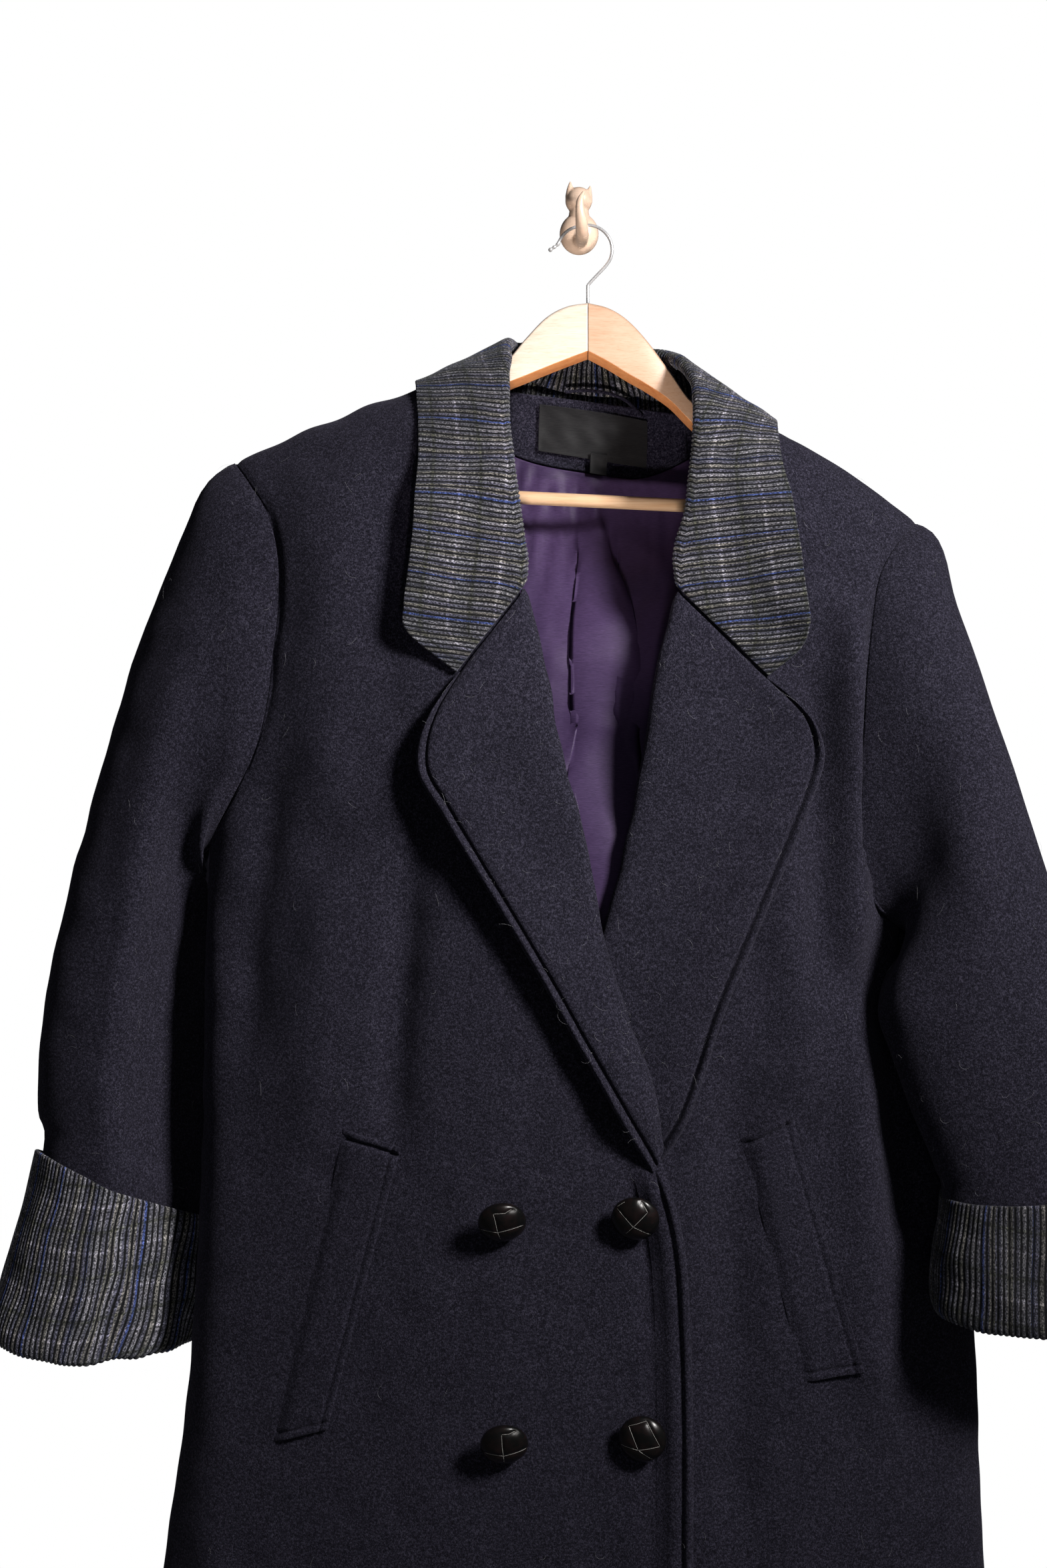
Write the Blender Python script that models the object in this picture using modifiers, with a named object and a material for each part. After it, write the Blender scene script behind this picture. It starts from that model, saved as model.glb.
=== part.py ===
"""Navy wool coat with a checked corduroy collar and cuffs, on a wooden hanger and a cat-shaped wall hook.

Metres. X to the viewer's right, Z up, the viewer at -Y. The wall is the plane y = 0 and the origin is
the middle of the wall hook's flat back. Names say the wearer's side: "right" is at -X.
"""

import bmesh
import bpy
import numpy as np
from mathutils import Matrix, Vector

# Finishes: colour, roughness, metallic
NAVY = ((0.011, 0.014, 0.022), 0.95, 0)
CHECK = ((0.075, 0.080, 0.085), 0.90, 0)
PURPLE = ((0.065, 0.035, 0.140), 0.40, 0)
RIBBON = ((0.012, 0.012, 0.016), 0.45, 0)
BRAID = ((0.015, 0.015, 0.025), 0.80, 0)
LEATHER = ((0.012, 0.011, 0.011), 0.30, 0)
BEECH = ((0.86, 0.62, 0.38), 0.34, 0)
BAR_BEECH = ((0.86, 0.52, 0.22), 0.34, 0)
CHROME = ((0.75, 0.75, 0.77), 0.16, 1)
COPPER = ((0.78, 0.46, 0.30), 0.36, 1)

# Cloth and seams
WOOL = 0.0024
CORD = 0.0026
SATIN = 0.0012
HALF_SEAM = 0.00017
WELD = 0.00001
LIE = 0.0009

# The torso: centre, depth in front and behind, roundness of the plan and of the shoulders
MID_X = -0.008
MID_Y = -0.058
FRONT_DEEP = 0.066
BACK_DEEP = 0.047
FRONT_PLAN = 2.4
BACK_PLAN = 3.0
SHOULDER = 2.3
FRONT_DROP = 0.115
BACK_DROP = 0.050
HEM = -1.285

# Rows of the panels: from the shoulder to the underarm, and on down to the hem
ARM_ROWS = 12
SKIRT_ROWS = 13

# Shoulder line: x, z
RIDGE = np.array([
    (-0.330, -0.222), (-0.240, -0.1843), (-0.190, -0.1620), (-0.143, -0.1440), (-0.100, -0.1285),
    (-0.068, -0.1170), (0.012, -0.1060), (0.092, -0.1375), (0.131, -0.1590), (0.157, -0.1736),
    (0.195, -0.1975), (0.233, -0.2259), (0.320, -0.290),
])
# Side seams: drop below the hook, x on the wearer's right, x on the wearer's left
SIDES = np.array([
    (0.150, -0.2585, 0.2510), (0.300, -0.2585, 0.2500), (0.460, -0.2585, 0.2260),
    (0.509, -0.2585, 0.2220), (0.600, -0.2590, 0.2500), (0.725, -0.2635, 0.2680),
    (0.850, -0.2750, 0.2740), (0.934, -0.2870, 0.2780), (1.290, -0.3270, 0.2980),
])
# Front armhole seams: drop, x. The first row is the shoulder point, the last one the underarm
ARM_RIGHT = np.array([
    (0.1843, -0.2400), (0.1920, -0.2340), (0.2275, -0.2115), (0.2600, -0.2047), (0.2870, -0.2048),
    (0.3220, -0.2090), (0.3680, -0.2160), (0.4000, -0.2277), (0.4295, -0.2450), (0.4540, -0.2585),
])
ARM_LEFT = np.array([
    (0.2259, 0.2330), (0.2320, 0.2250), (0.2530, 0.2070), (0.2970, 0.1945), (0.3450, 0.1900),
    (0.4230, 0.1877), (0.4700, 0.1900), (0.4960, 0.2030), (0.5090, 0.2220),
])
# Lapels: roll line x, z and outer edge x, z, from the gorge to the break
LAPEL_RIGHT = np.array([
    (-0.0378, -0.2765, -0.0852, -0.3365), (-0.0330, -0.2960, -0.0950, -0.3520),
    (-0.0266, -0.3203, -0.1020, -0.3650), (-0.0210, -0.3480, -0.1078, -0.3850),
    (-0.0173, -0.3700, -0.1065, -0.4020), (-0.0110, -0.3980, -0.0947, -0.4220),
    (-0.0040, -0.4226, -0.0830, -0.4420), (0.0040, -0.4560, -0.0676, -0.4680),
    (0.0095, -0.4880, -0.0470, -0.5030), (0.0165, -0.5200, -0.0267, -0.5380),
    (0.0281, -0.5654, -0.0050, -0.5760), (0.0400, -0.6040, 0.0170, -0.6140),
    (0.0480, -0.6290, 0.0330, -0.6430), (0.0540, -0.6480, 0.0450, -0.6650),
])
LAPEL_LEFT = np.array([
    (0.0606, -0.2780, 0.1240, -0.3385), (0.0560, -0.2980, 0.1400, -0.3530),
    (0.0500, -0.3200, 0.1527, -0.3680), (0.0440, -0.3500, 0.1576, -0.3850),
    (0.0414, -0.3723, 0.1540, -0.4050), (0.0370, -0.3980, 0.1416, -0.4380),
    (0.0325, -0.4226, 0.1305, -0.4650), (0.0265, -0.4500, 0.1189, -0.4930),
    (0.0200, -0.4780, 0.1075, -0.5200), (0.0143, -0.4973, 0.0962, -0.5470),
    (0.0060, -0.5300, 0.0865, -0.5740), (-0.0030, -0.5620, 0.0779, -0.6020),
    (-0.0130, -0.5950, 0.0640, -0.6370), (-0.0240, -0.6300, 0.0420, -0.6720),
])
# Inner edges of the fronts above and below the lapels: drop, x
NECK_RIGHT = ((0.1170, -0.0680), (0.1500, -0.0650), (0.2000, -0.0580), (0.2500, -0.0450))
NECK_LEFT = ((0.1375, 0.0920), (0.1700, 0.0880), (0.2200, 0.0770), (0.2550, 0.0670))
EDGE_RIGHT = ((0.6780, 0.0575), (0.7100, 0.0655), (0.7550, 0.0690), (0.9300, 0.0717), (1.2900, 0.0730))
EDGE_LEFT = ((0.6650, -0.0330), (0.7000, -0.0560), (0.7400, -0.0820), (0.8000, -0.0880), (1.2900, -0.0900))
BEHIND_ROLL = 0.0052


def open_edge(neck, rows, side, low):
    """A front's inner edge: the neck, a little behind the lapel's roll line, and the front edge."""
    roll = [(-z, x + side * BEHIND_ROLL) for x, z, _, _ in rows]
    return np.array(list(neck) + roll + list(low))


OPEN_RIGHT = open_edge(NECK_RIGHT, LAPEL_RIGHT, -1, EDGE_RIGHT)
OPEN_LEFT = open_edge(NECK_LEFT, LAPEL_LEFT, 1, EDGE_LEFT)


def table(rows, column, at):
    """A smooth curve through one column of a table, straight beyond its ends."""
    x = rows[:, 0]
    y = rows[:, column]
    slope = np.gradient(y, x)
    at = np.asarray(at, float)
    i = np.clip(np.searchsorted(x, at) - 1, 0, len(x) - 2)
    step = x[i + 1] - x[i]
    t = np.clip((at - x[i]) / step, 0, 1)
    bend = (
        (2 * t**3 - 3 * t**2 + 1) * y[i]
        + (t**3 - 2 * t**2 + t) * step * slope[i]
        + (3 * t**2 - 2 * t**3) * y[i + 1]
        + (t**3 - t**2) * step * slope[i + 1]
    )
    return bend + np.minimum(at - x[0], 0) * slope[0] + np.maximum(at - x[-1], 0) * slope[-1]


def ease(t):
    t = np.clip(t, 0, 1)
    return t * t * (3 - 2 * t)


def unit(v):
    return v / np.maximum(np.linalg.norm(v, axis=-1, keepdims=True), 1e-12)


def ridge(x):
    return table(RIDGE, 1, x)


def side_x(side, z):
    return table(SIDES, 1 if side < 0 else 2, -z)


def arm_table(side):
    return ARM_RIGHT if side < 0 else ARM_LEFT


def lap(x, z):
    """How far the wearer's right front stands off where it laps over the left one."""
    return 0.0120 * ease((x + 0.19) / 0.14) * ease((-0.24 - z) / 0.16)


def flute(x, z):
    """Slow waves of the skirt, growing to the hem."""
    return 0.006 * ease((-0.75 - z) / 0.5) * np.sin((x - 0.03) * 24)


def plan(x, z, power):
    left = MID_X - side_x(-1, z)
    right = side_x(1, z) - MID_X
    a = np.abs(x - MID_X) / np.where(x < MID_X, left, right)
    return np.maximum(1 - np.minimum(a, 1) ** power, 0) ** (1 / power)


def arch(x, z, drop):
    t = np.clip(1 - (ridge(x) - z) / drop, 0, 1)
    return np.maximum(1 - t**SHOULDER, 0) ** (1 / SHOULDER)


def front_y(x, z, side=1):
    q = plan(x, z, FRONT_PLAN)
    y = MID_Y - FRONT_DEEP * q * arch(x, z, FRONT_DROP) - flute(x, z) * q
    return y - (lap(x, z) if side < 0 else 0)


def back_y(x, z, side=1):
    q = plan(x, z, BACK_PLAN)
    return MID_Y + BACK_DEEP * q * arch(x, z, BACK_DROP) - flute(x, z) * q * 0.3 - 0.001 * q


def facing(surface, x, z, side, sign):
    """Outward normal of y = surface(x, z)."""
    e = 2e-5
    dx = (surface(x + e, z, side) - surface(x - e, z, side)) / (2 * e)
    dz = (surface(x, z + e, side) - surface(x, z - e, side)) / (2 * e)
    return unit(np.stack([dx, -np.ones_like(dx), dz], -1) * sign)


def shell(name, grid, normals, wall, wrap=False, finish=NAVY):
    """A sheet of cloth: a grid of points, and the same points moved in along their normals."""
    rows, cols = grid.shape[:2]
    deep = normals * np.reshape(wall, np.shape(wall) + (1,))
    points = np.concatenate([grid.reshape(-1, 3), (grid - deep).reshape(-1, 3)])
    inner = rows * cols
    faces = []
    last = cols if wrap else cols - 1
    for r in range(rows - 1):
        for c in range(last):
            a = r * cols + c
            b = r * cols + (c + 1) % cols
            d = a + cols
            e = b + cols
            faces.append((a, b, e, d))
            faces.append((a + inner, d + inner, e + inner, b + inner))
    for c in range(last):
        a = c
        b = (c + 1) % cols
        faces.append((b, a, a + inner, b + inner))
        a += (rows - 1) * cols
        b += (rows - 1) * cols
        faces.append((a, b, b + inner, a + inner))
    if not wrap:
        for r in range(rows - 1):
            a = r * cols
            faces.append((a, a + cols, a + cols + inner, a + inner))
            b = a + cols - 1
            faces.append((b + cols, b, b + inner, b + cols + inner))
    return lofted(name, points, faces, finish)


def placed(name, mesh, finish, matrix=None):
    """An object with its own material, hung from the hook's empty; with no finish it is a cutter."""
    item = bpy.data.objects.new(name, mesh)
    if matrix is not None:
        item.matrix_world = matrix
    if finish is None:
        CUTTERS.objects.link(item)
        item.hide_render = True
        item.display_type = "WIRE"
        return item
    COAT.objects.link(item)
    item.parent = HOOK_POINT
    colour, rough, metallic = finish
    paint = bpy.data.materials.new(name)
    paint.use_nodes = True
    shader = paint.node_tree.nodes["Principled BSDF"]
    shader.inputs["Base Color"].default_value = (*colour, 1)
    shader.inputs["Roughness"].default_value = rough
    shader.inputs["Metallic"].default_value = metallic
    mesh.materials.clear()
    mesh.materials.append(paint)
    return item


def lofted(name, points, faces, finish):
    """A closed body through unlike sections, its faces turned outward."""
    corners = []
    for face in faces:
        for i in range(1, len(face) - 1):
            corners.append((face[0], face[i], face[i + 1]))
    p = points[np.array(corners)]
    if np.linalg.det(p - points.mean(0)).sum() < 0:
        faces = [face[::-1] for face in faces]
    mesh = bpy.data.meshes.new(name)
    mesh.from_pydata(points.tolist(), [], faces)
    mesh.update()
    return placed(name, mesh, finish)


def rod(name, path, radii, resolution, finish):
    """A round bar along a path: a bevelled curve, its caps welded."""
    radii = np.broadcast_to(radii, len(path))
    curve = bpy.data.curves.new(name, "CURVE")
    curve.dimensions = "3D"
    curve.bevel_depth = radii.max()
    curve.bevel_resolution = resolution
    curve.use_fill_caps = True
    spline = curve.splines.new("POLY")
    spline.points.add(len(path) - 1)
    for point, place, radius in zip(spline.points, path, radii):
        point.co = (*place, 1)
        point.radius = radius / radii.max()
    guide = bpy.data.objects.new(f"{name}_guide", curve)
    bpy.context.scene.collection.objects.link(guide)
    bpy.context.view_layer.update()
    whole = bpy.context.evaluated_depsgraph_get()
    mesh = bpy.data.meshes.new_from_object(guide.evaluated_get(whole))
    bpy.data.objects.remove(guide, do_unlink=True)
    form = bmesh.new()
    form.from_mesh(mesh)
    bmesh.ops.remove_doubles(form, verts=form.verts, dist=WELD)
    bmesh.ops.recalc_face_normals(form, faces=form.faces)
    form.to_mesh(mesh)
    form.free()
    return placed(name, mesh, finish)


# Armhole loops, shared by the panels and the sleeves
def arm_loop(side):
    """Points, outward normals and sleeve-ward directions: shoulder, front, underarm, back."""
    rows = arm_table(side)
    turn = np.linspace(0, np.pi, ARM_ROWS + 1)
    top = -rows[0, 0]
    low = -rows[-1, 0]
    z = top + (low - top) * (1 - np.cos(turn)) / 2
    x_front = table(rows, 1, -z)
    share = (top - z) / (top - low)
    straight = rows[0, 1] + (rows[-1, 1] - rows[0, 1]) * share
    x_back = straight + (x_front - straight) * 0.75
    front = np.stack([x_front, front_y(x_front, z, side), z], -1)
    back = np.stack([x_back, back_y(x_back, z), z], -1)
    n_front = facing(front_y, x_front, z, side, 1)
    n_back = facing(back_y, x_back, z, side, -1)
    slope = (ridge(x_front[0] + 1e-3) - ridge(x_front[0] - 1e-3)) / 2e-3
    n_front[0] = unit(np.array([-slope, 0, 1]))
    n_front[-1] = (side, 0, 0)
    loop = np.concatenate([front, back[-2:0:-1]])
    normal = np.concatenate([n_front, n_back[-2:0:-1]])
    loop[0, 1] = MID_Y
    loop[ARM_ROWS, 1] = MID_Y
    run = unit(np.roll(loop, -1, 0) - np.roll(loop, 1, 0))
    out = unit(np.cross(run, normal))
    out *= np.sign((out * np.array([side, 0, 0])).sum(-1).sum())
    return loop, normal, out


# Panels
def row_levels(side):
    """z of each row at the outer edge, from the shoulder point to the hem."""
    rows = arm_table(side)
    turn = np.linspace(0, np.pi, ARM_ROWS + 1)
    top = -rows[0, 0]
    low = -rows[-1, 0]
    upper = top + (low - top) * (1 - np.cos(turn)) / 2
    down = low + (HEM - low) * np.linspace(0, 1, SKIRT_ROWS + 1)[1:] ** 1.25
    return np.concatenate([upper, down])


def follow(levels):
    """How much a row keeps the slope of the shoulder."""
    return np.clip(1 - (levels[0] - levels) / 0.42, 0, 1)


def front_panel(name, side, edge, cols):
    levels = row_levels(side)
    keep = follow(levels)
    loop, normal, out = arm_loop(side)
    grid = np.zeros((len(levels), cols, 3))
    turned = np.zeros_like(grid)
    for k, level in enumerate(levels):
        outer = loop[k, 0] if k <= ARM_ROWS else float(side_x(side, level))
        inner = float(table(edge, 1, -level))
        for _ in range(12):
            z_in = level + keep[k] * (ridge(inner) - ridge(outer))
            inner = 0.5 * inner + 0.5 * float(table(edge, 1, -z_in))
        if k == 0:
            inner = edge[0, 1]
        wide = float(side_x(side, level)) - MID_X
        a = np.array([inner - MID_X, outer - MID_X]) / wide
        angle = np.arcsin(np.clip(np.sign(a) * np.abs(a) ** (FRONT_PLAN / 2), -1, 1))
        turn = np.linspace(angle[0], angle[1], cols)
        x = MID_X + wide * np.sign(turn) * np.abs(np.sin(turn)) ** (2 / FRONT_PLAN)
        x[0] = inner
        x[-1] = outer
        z = level + keep[k] * (ridge(x) - ridge(outer))
        grid[k] = np.stack([x, front_y(x, z, side), z], -1)
        turned[k] = facing(front_y, x, z, side, 1)
        if k > ARM_ROWS:
            grid[k, -1] = (outer, MID_Y - HALF_SEAM, level)
            turned[k, -1] = (side, 0, 0)
    slope = (ridge(grid[0, :, 0] + 1e-3) - ridge(grid[0, :, 0] - 1e-3)) / 2e-3
    turned[0] = unit(np.stack([-slope, 0 * slope, 1 + 0 * slope], -1))
    grid[0, :, 1] = MID_Y - HALF_SEAM
    half = slice(0, ARM_ROWS + 1)
    grid[half, -1] = loop[half] - out[half] * HALF_SEAM
    grid[0, -1, 1] = MID_Y - HALF_SEAM
    grid[ARM_ROWS, -1, 1] = MID_Y - HALF_SEAM
    turned[half, -1] = normal[half]
    shell(name, grid, turned, WOOL)


NECK_X = 0.012
NECK_HALF = 0.080
NECK_BACK = 0.0455
NECK_ROUND = 3.2
NECK_COLS = NECK_X + NECK_HALF * np.array([-1, -0.96, -0.84, -0.58, -0.2, 0.2, 0.58, 0.84, 0.96, 1])


def back_top(x):
    """Top edge of the back: the shoulder line, and between the neck points the neck curve."""
    z = ridge(x)
    a = np.clip(np.abs(x - NECK_X) / NECK_HALF, 0, 1)
    reach = NECK_BACK * (1 - a**NECK_ROUND) ** (1 / NECK_ROUND)
    q = plan(x, z, BACK_PLAN)
    g = np.clip(reach / (BACK_DEEP * np.maximum(q, 0.05)), 0, 0.985)
    t = (1 - g**SHOULDER) ** (1 / SHOULDER)
    return z - BACK_DROP * (1 - t)


def back_panel(name, cols):
    both = {side: row_levels(side) for side in (-1, 1)}
    loops = {side: arm_loop(side) for side in (-1, 1)}
    keep = follow((both[-1] + both[1]) / 2)
    grid = np.zeros((len(keep), 2 * cols + len(NECK_COLS), 3))
    turned = np.zeros_like(grid)
    count = len(loops[1][0])
    for k in range(len(keep)):
        ends = []
        for side in (-1, 1):
            if k <= ARM_ROWS:
                ends.append(loops[side][0][-k % count, 0])
            else:
                ends.append(float(side_x(side, both[side][k])))
        lines = []
        for side, end in zip((-1, 1), ends):
            wide = float(side_x(side, both[side][k])) - MID_X
            first = NECK_COLS[0 if side < 0 else -1]
            a = np.clip((np.array([first, end]) - MID_X) / wide, 0, 1)
            turn = np.linspace(*np.arcsin(a ** (BACK_PLAN / 2)), cols + 1)
            line = MID_X + wide * np.sin(turn) ** (2 / BACK_PLAN)
            line[0] = first
            line[-1] = end
            lines.append(line)
        x = np.concatenate([lines[0][:0:-1], NECK_COLS, lines[1][1:]])
        share = (x - ends[0]) / (ends[1] - ends[0])
        base = both[-1][k] + (both[1][k] - both[-1][k]) * share
        share_top = (x - loops[-1][0][0, 0]) / (loops[1][0][0, 0] - loops[-1][0][0, 0])
        chord = both[-1][0] + (both[1][0] - both[-1][0]) * np.clip(share_top, 0, 1)
        rise = back_top(x) - chord
        rise[[0, -1]] = 0
        z = base + keep[k] * rise
        grid[k] = np.stack([x, back_y(x, z), z], -1)
        turned[k] = facing(back_y, x, z, 1, -1)
        if k > ARM_ROWS:
            for c, side, end in ((0, -1, ends[0]), (-1, 1, ends[1])):
                grid[k, c] = (end, MID_Y + HALF_SEAM, both[side][k])
                turned[k, c] = (side, 0, 0)
    x = grid[0, :, 0]
    off = np.abs(x - NECK_X) > NECK_HALF - 1e-6
    slope = (ridge(x + 1e-3) - ridge(x - 1e-3)) / 2e-3
    up = unit(np.stack([-slope, 0 * slope, 1 + 0 * slope], -1))
    turned[0, off] = up[off]
    grid[0, off, 1] = MID_Y + HALF_SEAM
    for c, side in ((0, -1), (-1, 1)):
        loop, normal, out = loops[side]
        for k in range(ARM_ROWS + 1):
            i = -k % count
            grid[k, c] = loop[i] - out[i] * HALF_SEAM
            turned[k, c] = normal[i]
        grid[0, c, 1] = MID_Y + HALF_SEAM
        grid[ARM_ROWS, c, 1] = MID_Y + HALF_SEAM
    shell(name, grid, turned, WOOL)


# Sleeves: how the tube's long oval lies at each station, from the armhole to the wrist.
# outer x, outer z, inner x, inner z, y of the middle, half depth, rise of the front.
# The wearer's right sleeve hangs just behind the coat's widest line, and the left one in front of it
SLEEVE_RIGHT = np.array([
    (-0.2400, -0.1843, -0.2585, -0.4540, -0.058, 0.044, 0.000),
    (-0.2630, -0.2090, -0.2607, -0.4610, -0.059, 0.046, 0.000),
    (-0.2842, -0.2560, -0.2612, -0.4710, -0.057, 0.046, 0.000),
    (-0.3055, -0.3077, -0.2610, -0.4850, -0.054, 0.045, 0.000),
    (-0.3244, -0.3668, -0.2608, -0.5030, -0.052, 0.045, 0.000),
    (-0.3456, -0.4416, -0.2608, -0.5290, -0.051, 0.044, 0.000),
    (-0.3610, -0.5000, -0.2608, -0.5620, -0.050, 0.043, 0.000),
    (-0.3715, -0.5500, -0.2610, -0.5990, -0.050, 0.042, 0.002),
    (-0.3765, -0.5980, -0.2622, -0.6380, -0.050, 0.041, 0.004),
    (-0.3765, -0.6340, -0.2652, -0.6800, -0.051, 0.040, 0.006),
    (-0.3740, -0.6650, -0.2692, -0.7180, -0.052, 0.040, 0.008),
    (-0.3905, -0.7250, -0.2735, -0.7600, -0.053, 0.041, 0.000),
    (-0.4075, -0.7810, -0.2830, -0.7950, -0.053, 0.042, -0.007),
])
SLEEVE_LEFT = np.array([
    (0.2330, -0.2259, 0.2220, -0.5090, -0.058, 0.044, 0.000),
    (0.2467, -0.2468, 0.2247, -0.5140, -0.066, 0.047, 0.000),
    (0.2590, -0.2900, 0.2238, -0.5190, -0.075, 0.048, 0.000),
    (0.2716, -0.3336, 0.2190, -0.5300, -0.086, 0.048, 0.000),
    (0.2870, -0.3870, 0.2170, -0.5460, -0.097, 0.047, 0.000),
    (0.3044, -0.4421, 0.2200, -0.5640, -0.105, 0.045, 0.000),
    (0.3190, -0.4920, 0.2275, -0.5860, -0.111, 0.043, 0.000),
    (0.3340, -0.5480, 0.2350, -0.6130, -0.115, 0.042, 0.000),
    (0.3440, -0.5980, 0.2405, -0.6420, -0.118, 0.041, 0.000),
    (0.3480, -0.6350, 0.2430, -0.6640, -0.121, 0.041, -0.002),
    (0.3480, -0.6730, 0.2430, -0.6810, -0.123, 0.041, -0.004),
    (0.3540, -0.7150, 0.2370, -0.7180, -0.125, 0.042, -0.005),
    (0.3600, -0.7560, 0.2345, -0.7500, -0.125, 0.043, -0.008),
])
STATIONS = np.array([0, 0.3, 0.7, 1.2, 1.8, 2.5, 3.2, 4, 5, 6, 7, 8, 9, 10, 12])
CUFF_FROM = 9.95
CUFF_OFF = 0.0046
ROPE = 0.0030
SLEEVE_LIE = {-1: 0.0019, 1: 0.0028}
UNDERARM = 0.0030


def oval(side, t, turn, grow=0.0):
    """The sleeve's oval at station t; grow makes it wider and deeper all round."""
    rows = SLEEVE_RIGHT if side < 0 else SLEEVE_LEFT
    keys = np.column_stack([np.arange(len(rows)), rows])
    ox, oz, ix, iz, y, deep, rise = (table(keys, c, t) for c in range(1, 8))
    half = np.array([ox - ix, 0, oz - iz]) / 2
    middle = np.array([(ox + ix) / 2, y, (oz + iz) / 2])
    half = half * (1 + grow / np.linalg.norm(half))
    front = np.array([0, -(deep + grow), rise])
    return middle + np.cos(turn)[:, None] * half + np.sin(turn)[:, None] * front


def sleeve_turns():
    half = np.linspace(0, np.pi, ARM_ROWS + 1)
    return np.concatenate([half, half[1:-1] + np.pi])


def grid_normals(grid, wrap):
    down = np.gradient(grid, axis=0)
    if wrap:
        across = np.roll(grid, -1, 1) - np.roll(grid, 1, 1)
    else:
        across = np.gradient(grid, axis=1)
    return unit(np.cross(across, down))


def beside(p, least):
    """Moves points level with the side panels out to a least distance from the torso."""
    def level(q):
        x, y, z = q[..., 0], q[..., 1], q[..., 2]
        wide = np.where(x < MID_X, MID_X - side_x(-1, z), side_x(1, z) - MID_X)
        ahead = y < MID_Y
        power = np.where(ahead, FRONT_PLAN, BACK_PLAN)
        deep = np.where(ahead, FRONT_DEEP, BACK_DEEP)
        a = np.abs(x - MID_X) / wide
        b = np.abs(y - MID_Y) / deep
        return (a**power + b**power) ** (1 / power) - 1
    e = 5e-5
    for _ in range(5):
        slope = np.stack([(level(p + s) - level(p - s)) / (2 * e) for s in np.eye(3)[:2] * e], -1)
        size = np.linalg.norm(slope, axis=-1, keepdims=True)
        need = np.maximum(least - level(p)[..., None] / size, 0)
        p = p + np.concatenate([slope / size * need, 0 * need], -1)
    return p


def sleeve(name, side):
    loop, normal, out = arm_loop(side)
    turn = sleeve_turns()
    fix = loop - oval(side, 0, turn)
    grid = []
    for t in STATIONS:
        ring = oval(side, t, turn) + fix * max(1 - t / 3.5, 0) ** 2
        rope = ROPE * np.sin(np.pi * min(t / 1.6, 1)) * np.clip(np.cos(turn), 0, 1)
        ring = ring + normal * rope[:, None]
        if 0 < t < 1:
            ring[:, 0] += side * UNDERARM * ease((-np.cos(turn) - 0.4) / 0.5)
        low = ring[:, 2:] < loop[ARM_ROWS, 2] + (0.016 if t > 0.5 else 0.002)
        grid.append(np.where(low, beside(ring, SLEEVE_LIE[side]), ring))
    grid = np.array(grid)
    middle = grid.mean(1, keepdims=True)
    turned = grid_normals(grid, True)
    turned *= np.sign(((grid - middle) * turned).sum(-1).mean())
    aim = unit(grid[2] - grid[0])
    lift = np.maximum((aim * normal).sum(-1, keepdims=True), 0)
    aim = unit(out * (aim * out).sum(-1, keepdims=True) + normal * lift)
    run = unit(np.roll(loop, -1, 0) - np.roll(loop, 1, 0))
    start = unit(np.cross(aim, run))
    start *= np.sign((start[0] * normal[0]).sum())
    turned[0] = start
    low = ease((-np.cos(turn) - 0.5) / 0.4)
    grid[0] = loop + out * (HALF_SEAM + 0.0005 * low[:, None])
    wall = np.full(grid.shape[:2], WOOL)
    wall[0] *= 1 - 0.6 * low
    shell(name, grid, turned, wall, True)


def cuff(name, side):
    """The turned-back cuff: up inside the sleeve, round its end and back up outside it."""
    turn = sleeve_turns()
    reach = CUFF_OFF + 0.0012
    rings = [
        oval(side, 11.45, turn, -2 * reach + 0.0034),
        oval(side, 12.0, turn, -2 * reach + 0.0034),
    ]
    low = oval(side, 12.0, turn)
    axis = unit(low.mean(0) - oval(side, 11.0, turn).mean(0))
    for grow, drop in ((-0.0048, 0.0042), (-0.0010, 0.0062), (0.0030, 0.0045)):
        rings.append(oval(side, 12.0, turn, grow) + axis * drop)
    for t in (11.9, 11.5, 11.0, 10.5, CUFF_FROM):
        rings.append(oval(side, t, turn, CUFF_OFF))
    grid = np.array(rings)
    turned = grid_normals(grid, True)
    middle = grid[-1].mean(0)
    turned *= np.sign(((grid[-1] - middle) * turned[-1]).sum(-1).mean())
    shell(name, grid, turned, CORD, True, CHECK)


FOLD = 0.0047
FOLD_MID = -0.0012
LEG = 0.009
PUFF = 0.0016
BEND = np.radians([-90, -45, 0, 45, 90])


def lapel(name, side, rows):
    across = np.array([0.04, 0.12, 0.25, 0.45, 0.70, 0.9, 1.0])
    grid = []
    for x0, z0, x1, z1 in rows:
        wide = np.hypot(x1 - x0, z1 - z0)
        way = np.array([x1 - x0, z1 - z0]) / wide
        lie = LIE + WOOL
        far = np.concatenate([[FOLD + LEG], FOLD * (1 - np.cos(BEND)), FOLD + (wide - FOLD) * across])
        leaf = lie + (FOLD_MID + FOLD - lie) * (1 - across) ** 2 + PUFF * np.sin(np.pi * across**0.6)
        high = np.concatenate([[FOLD_MID - FOLD], FOLD_MID + FOLD * np.sin(BEND), leaf])
        x = x0 + way[0] * far
        z = z0 + way[1] * far
        grid.append(np.stack([x, front_y(x, z, side) - high, z], -1))
    grid = np.array(grid)
    turned = grid_normals(grid, False)
    turned *= -np.sign(turned[:, -2, 1].mean())
    shell(name, grid, turned, WOOL)


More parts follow.
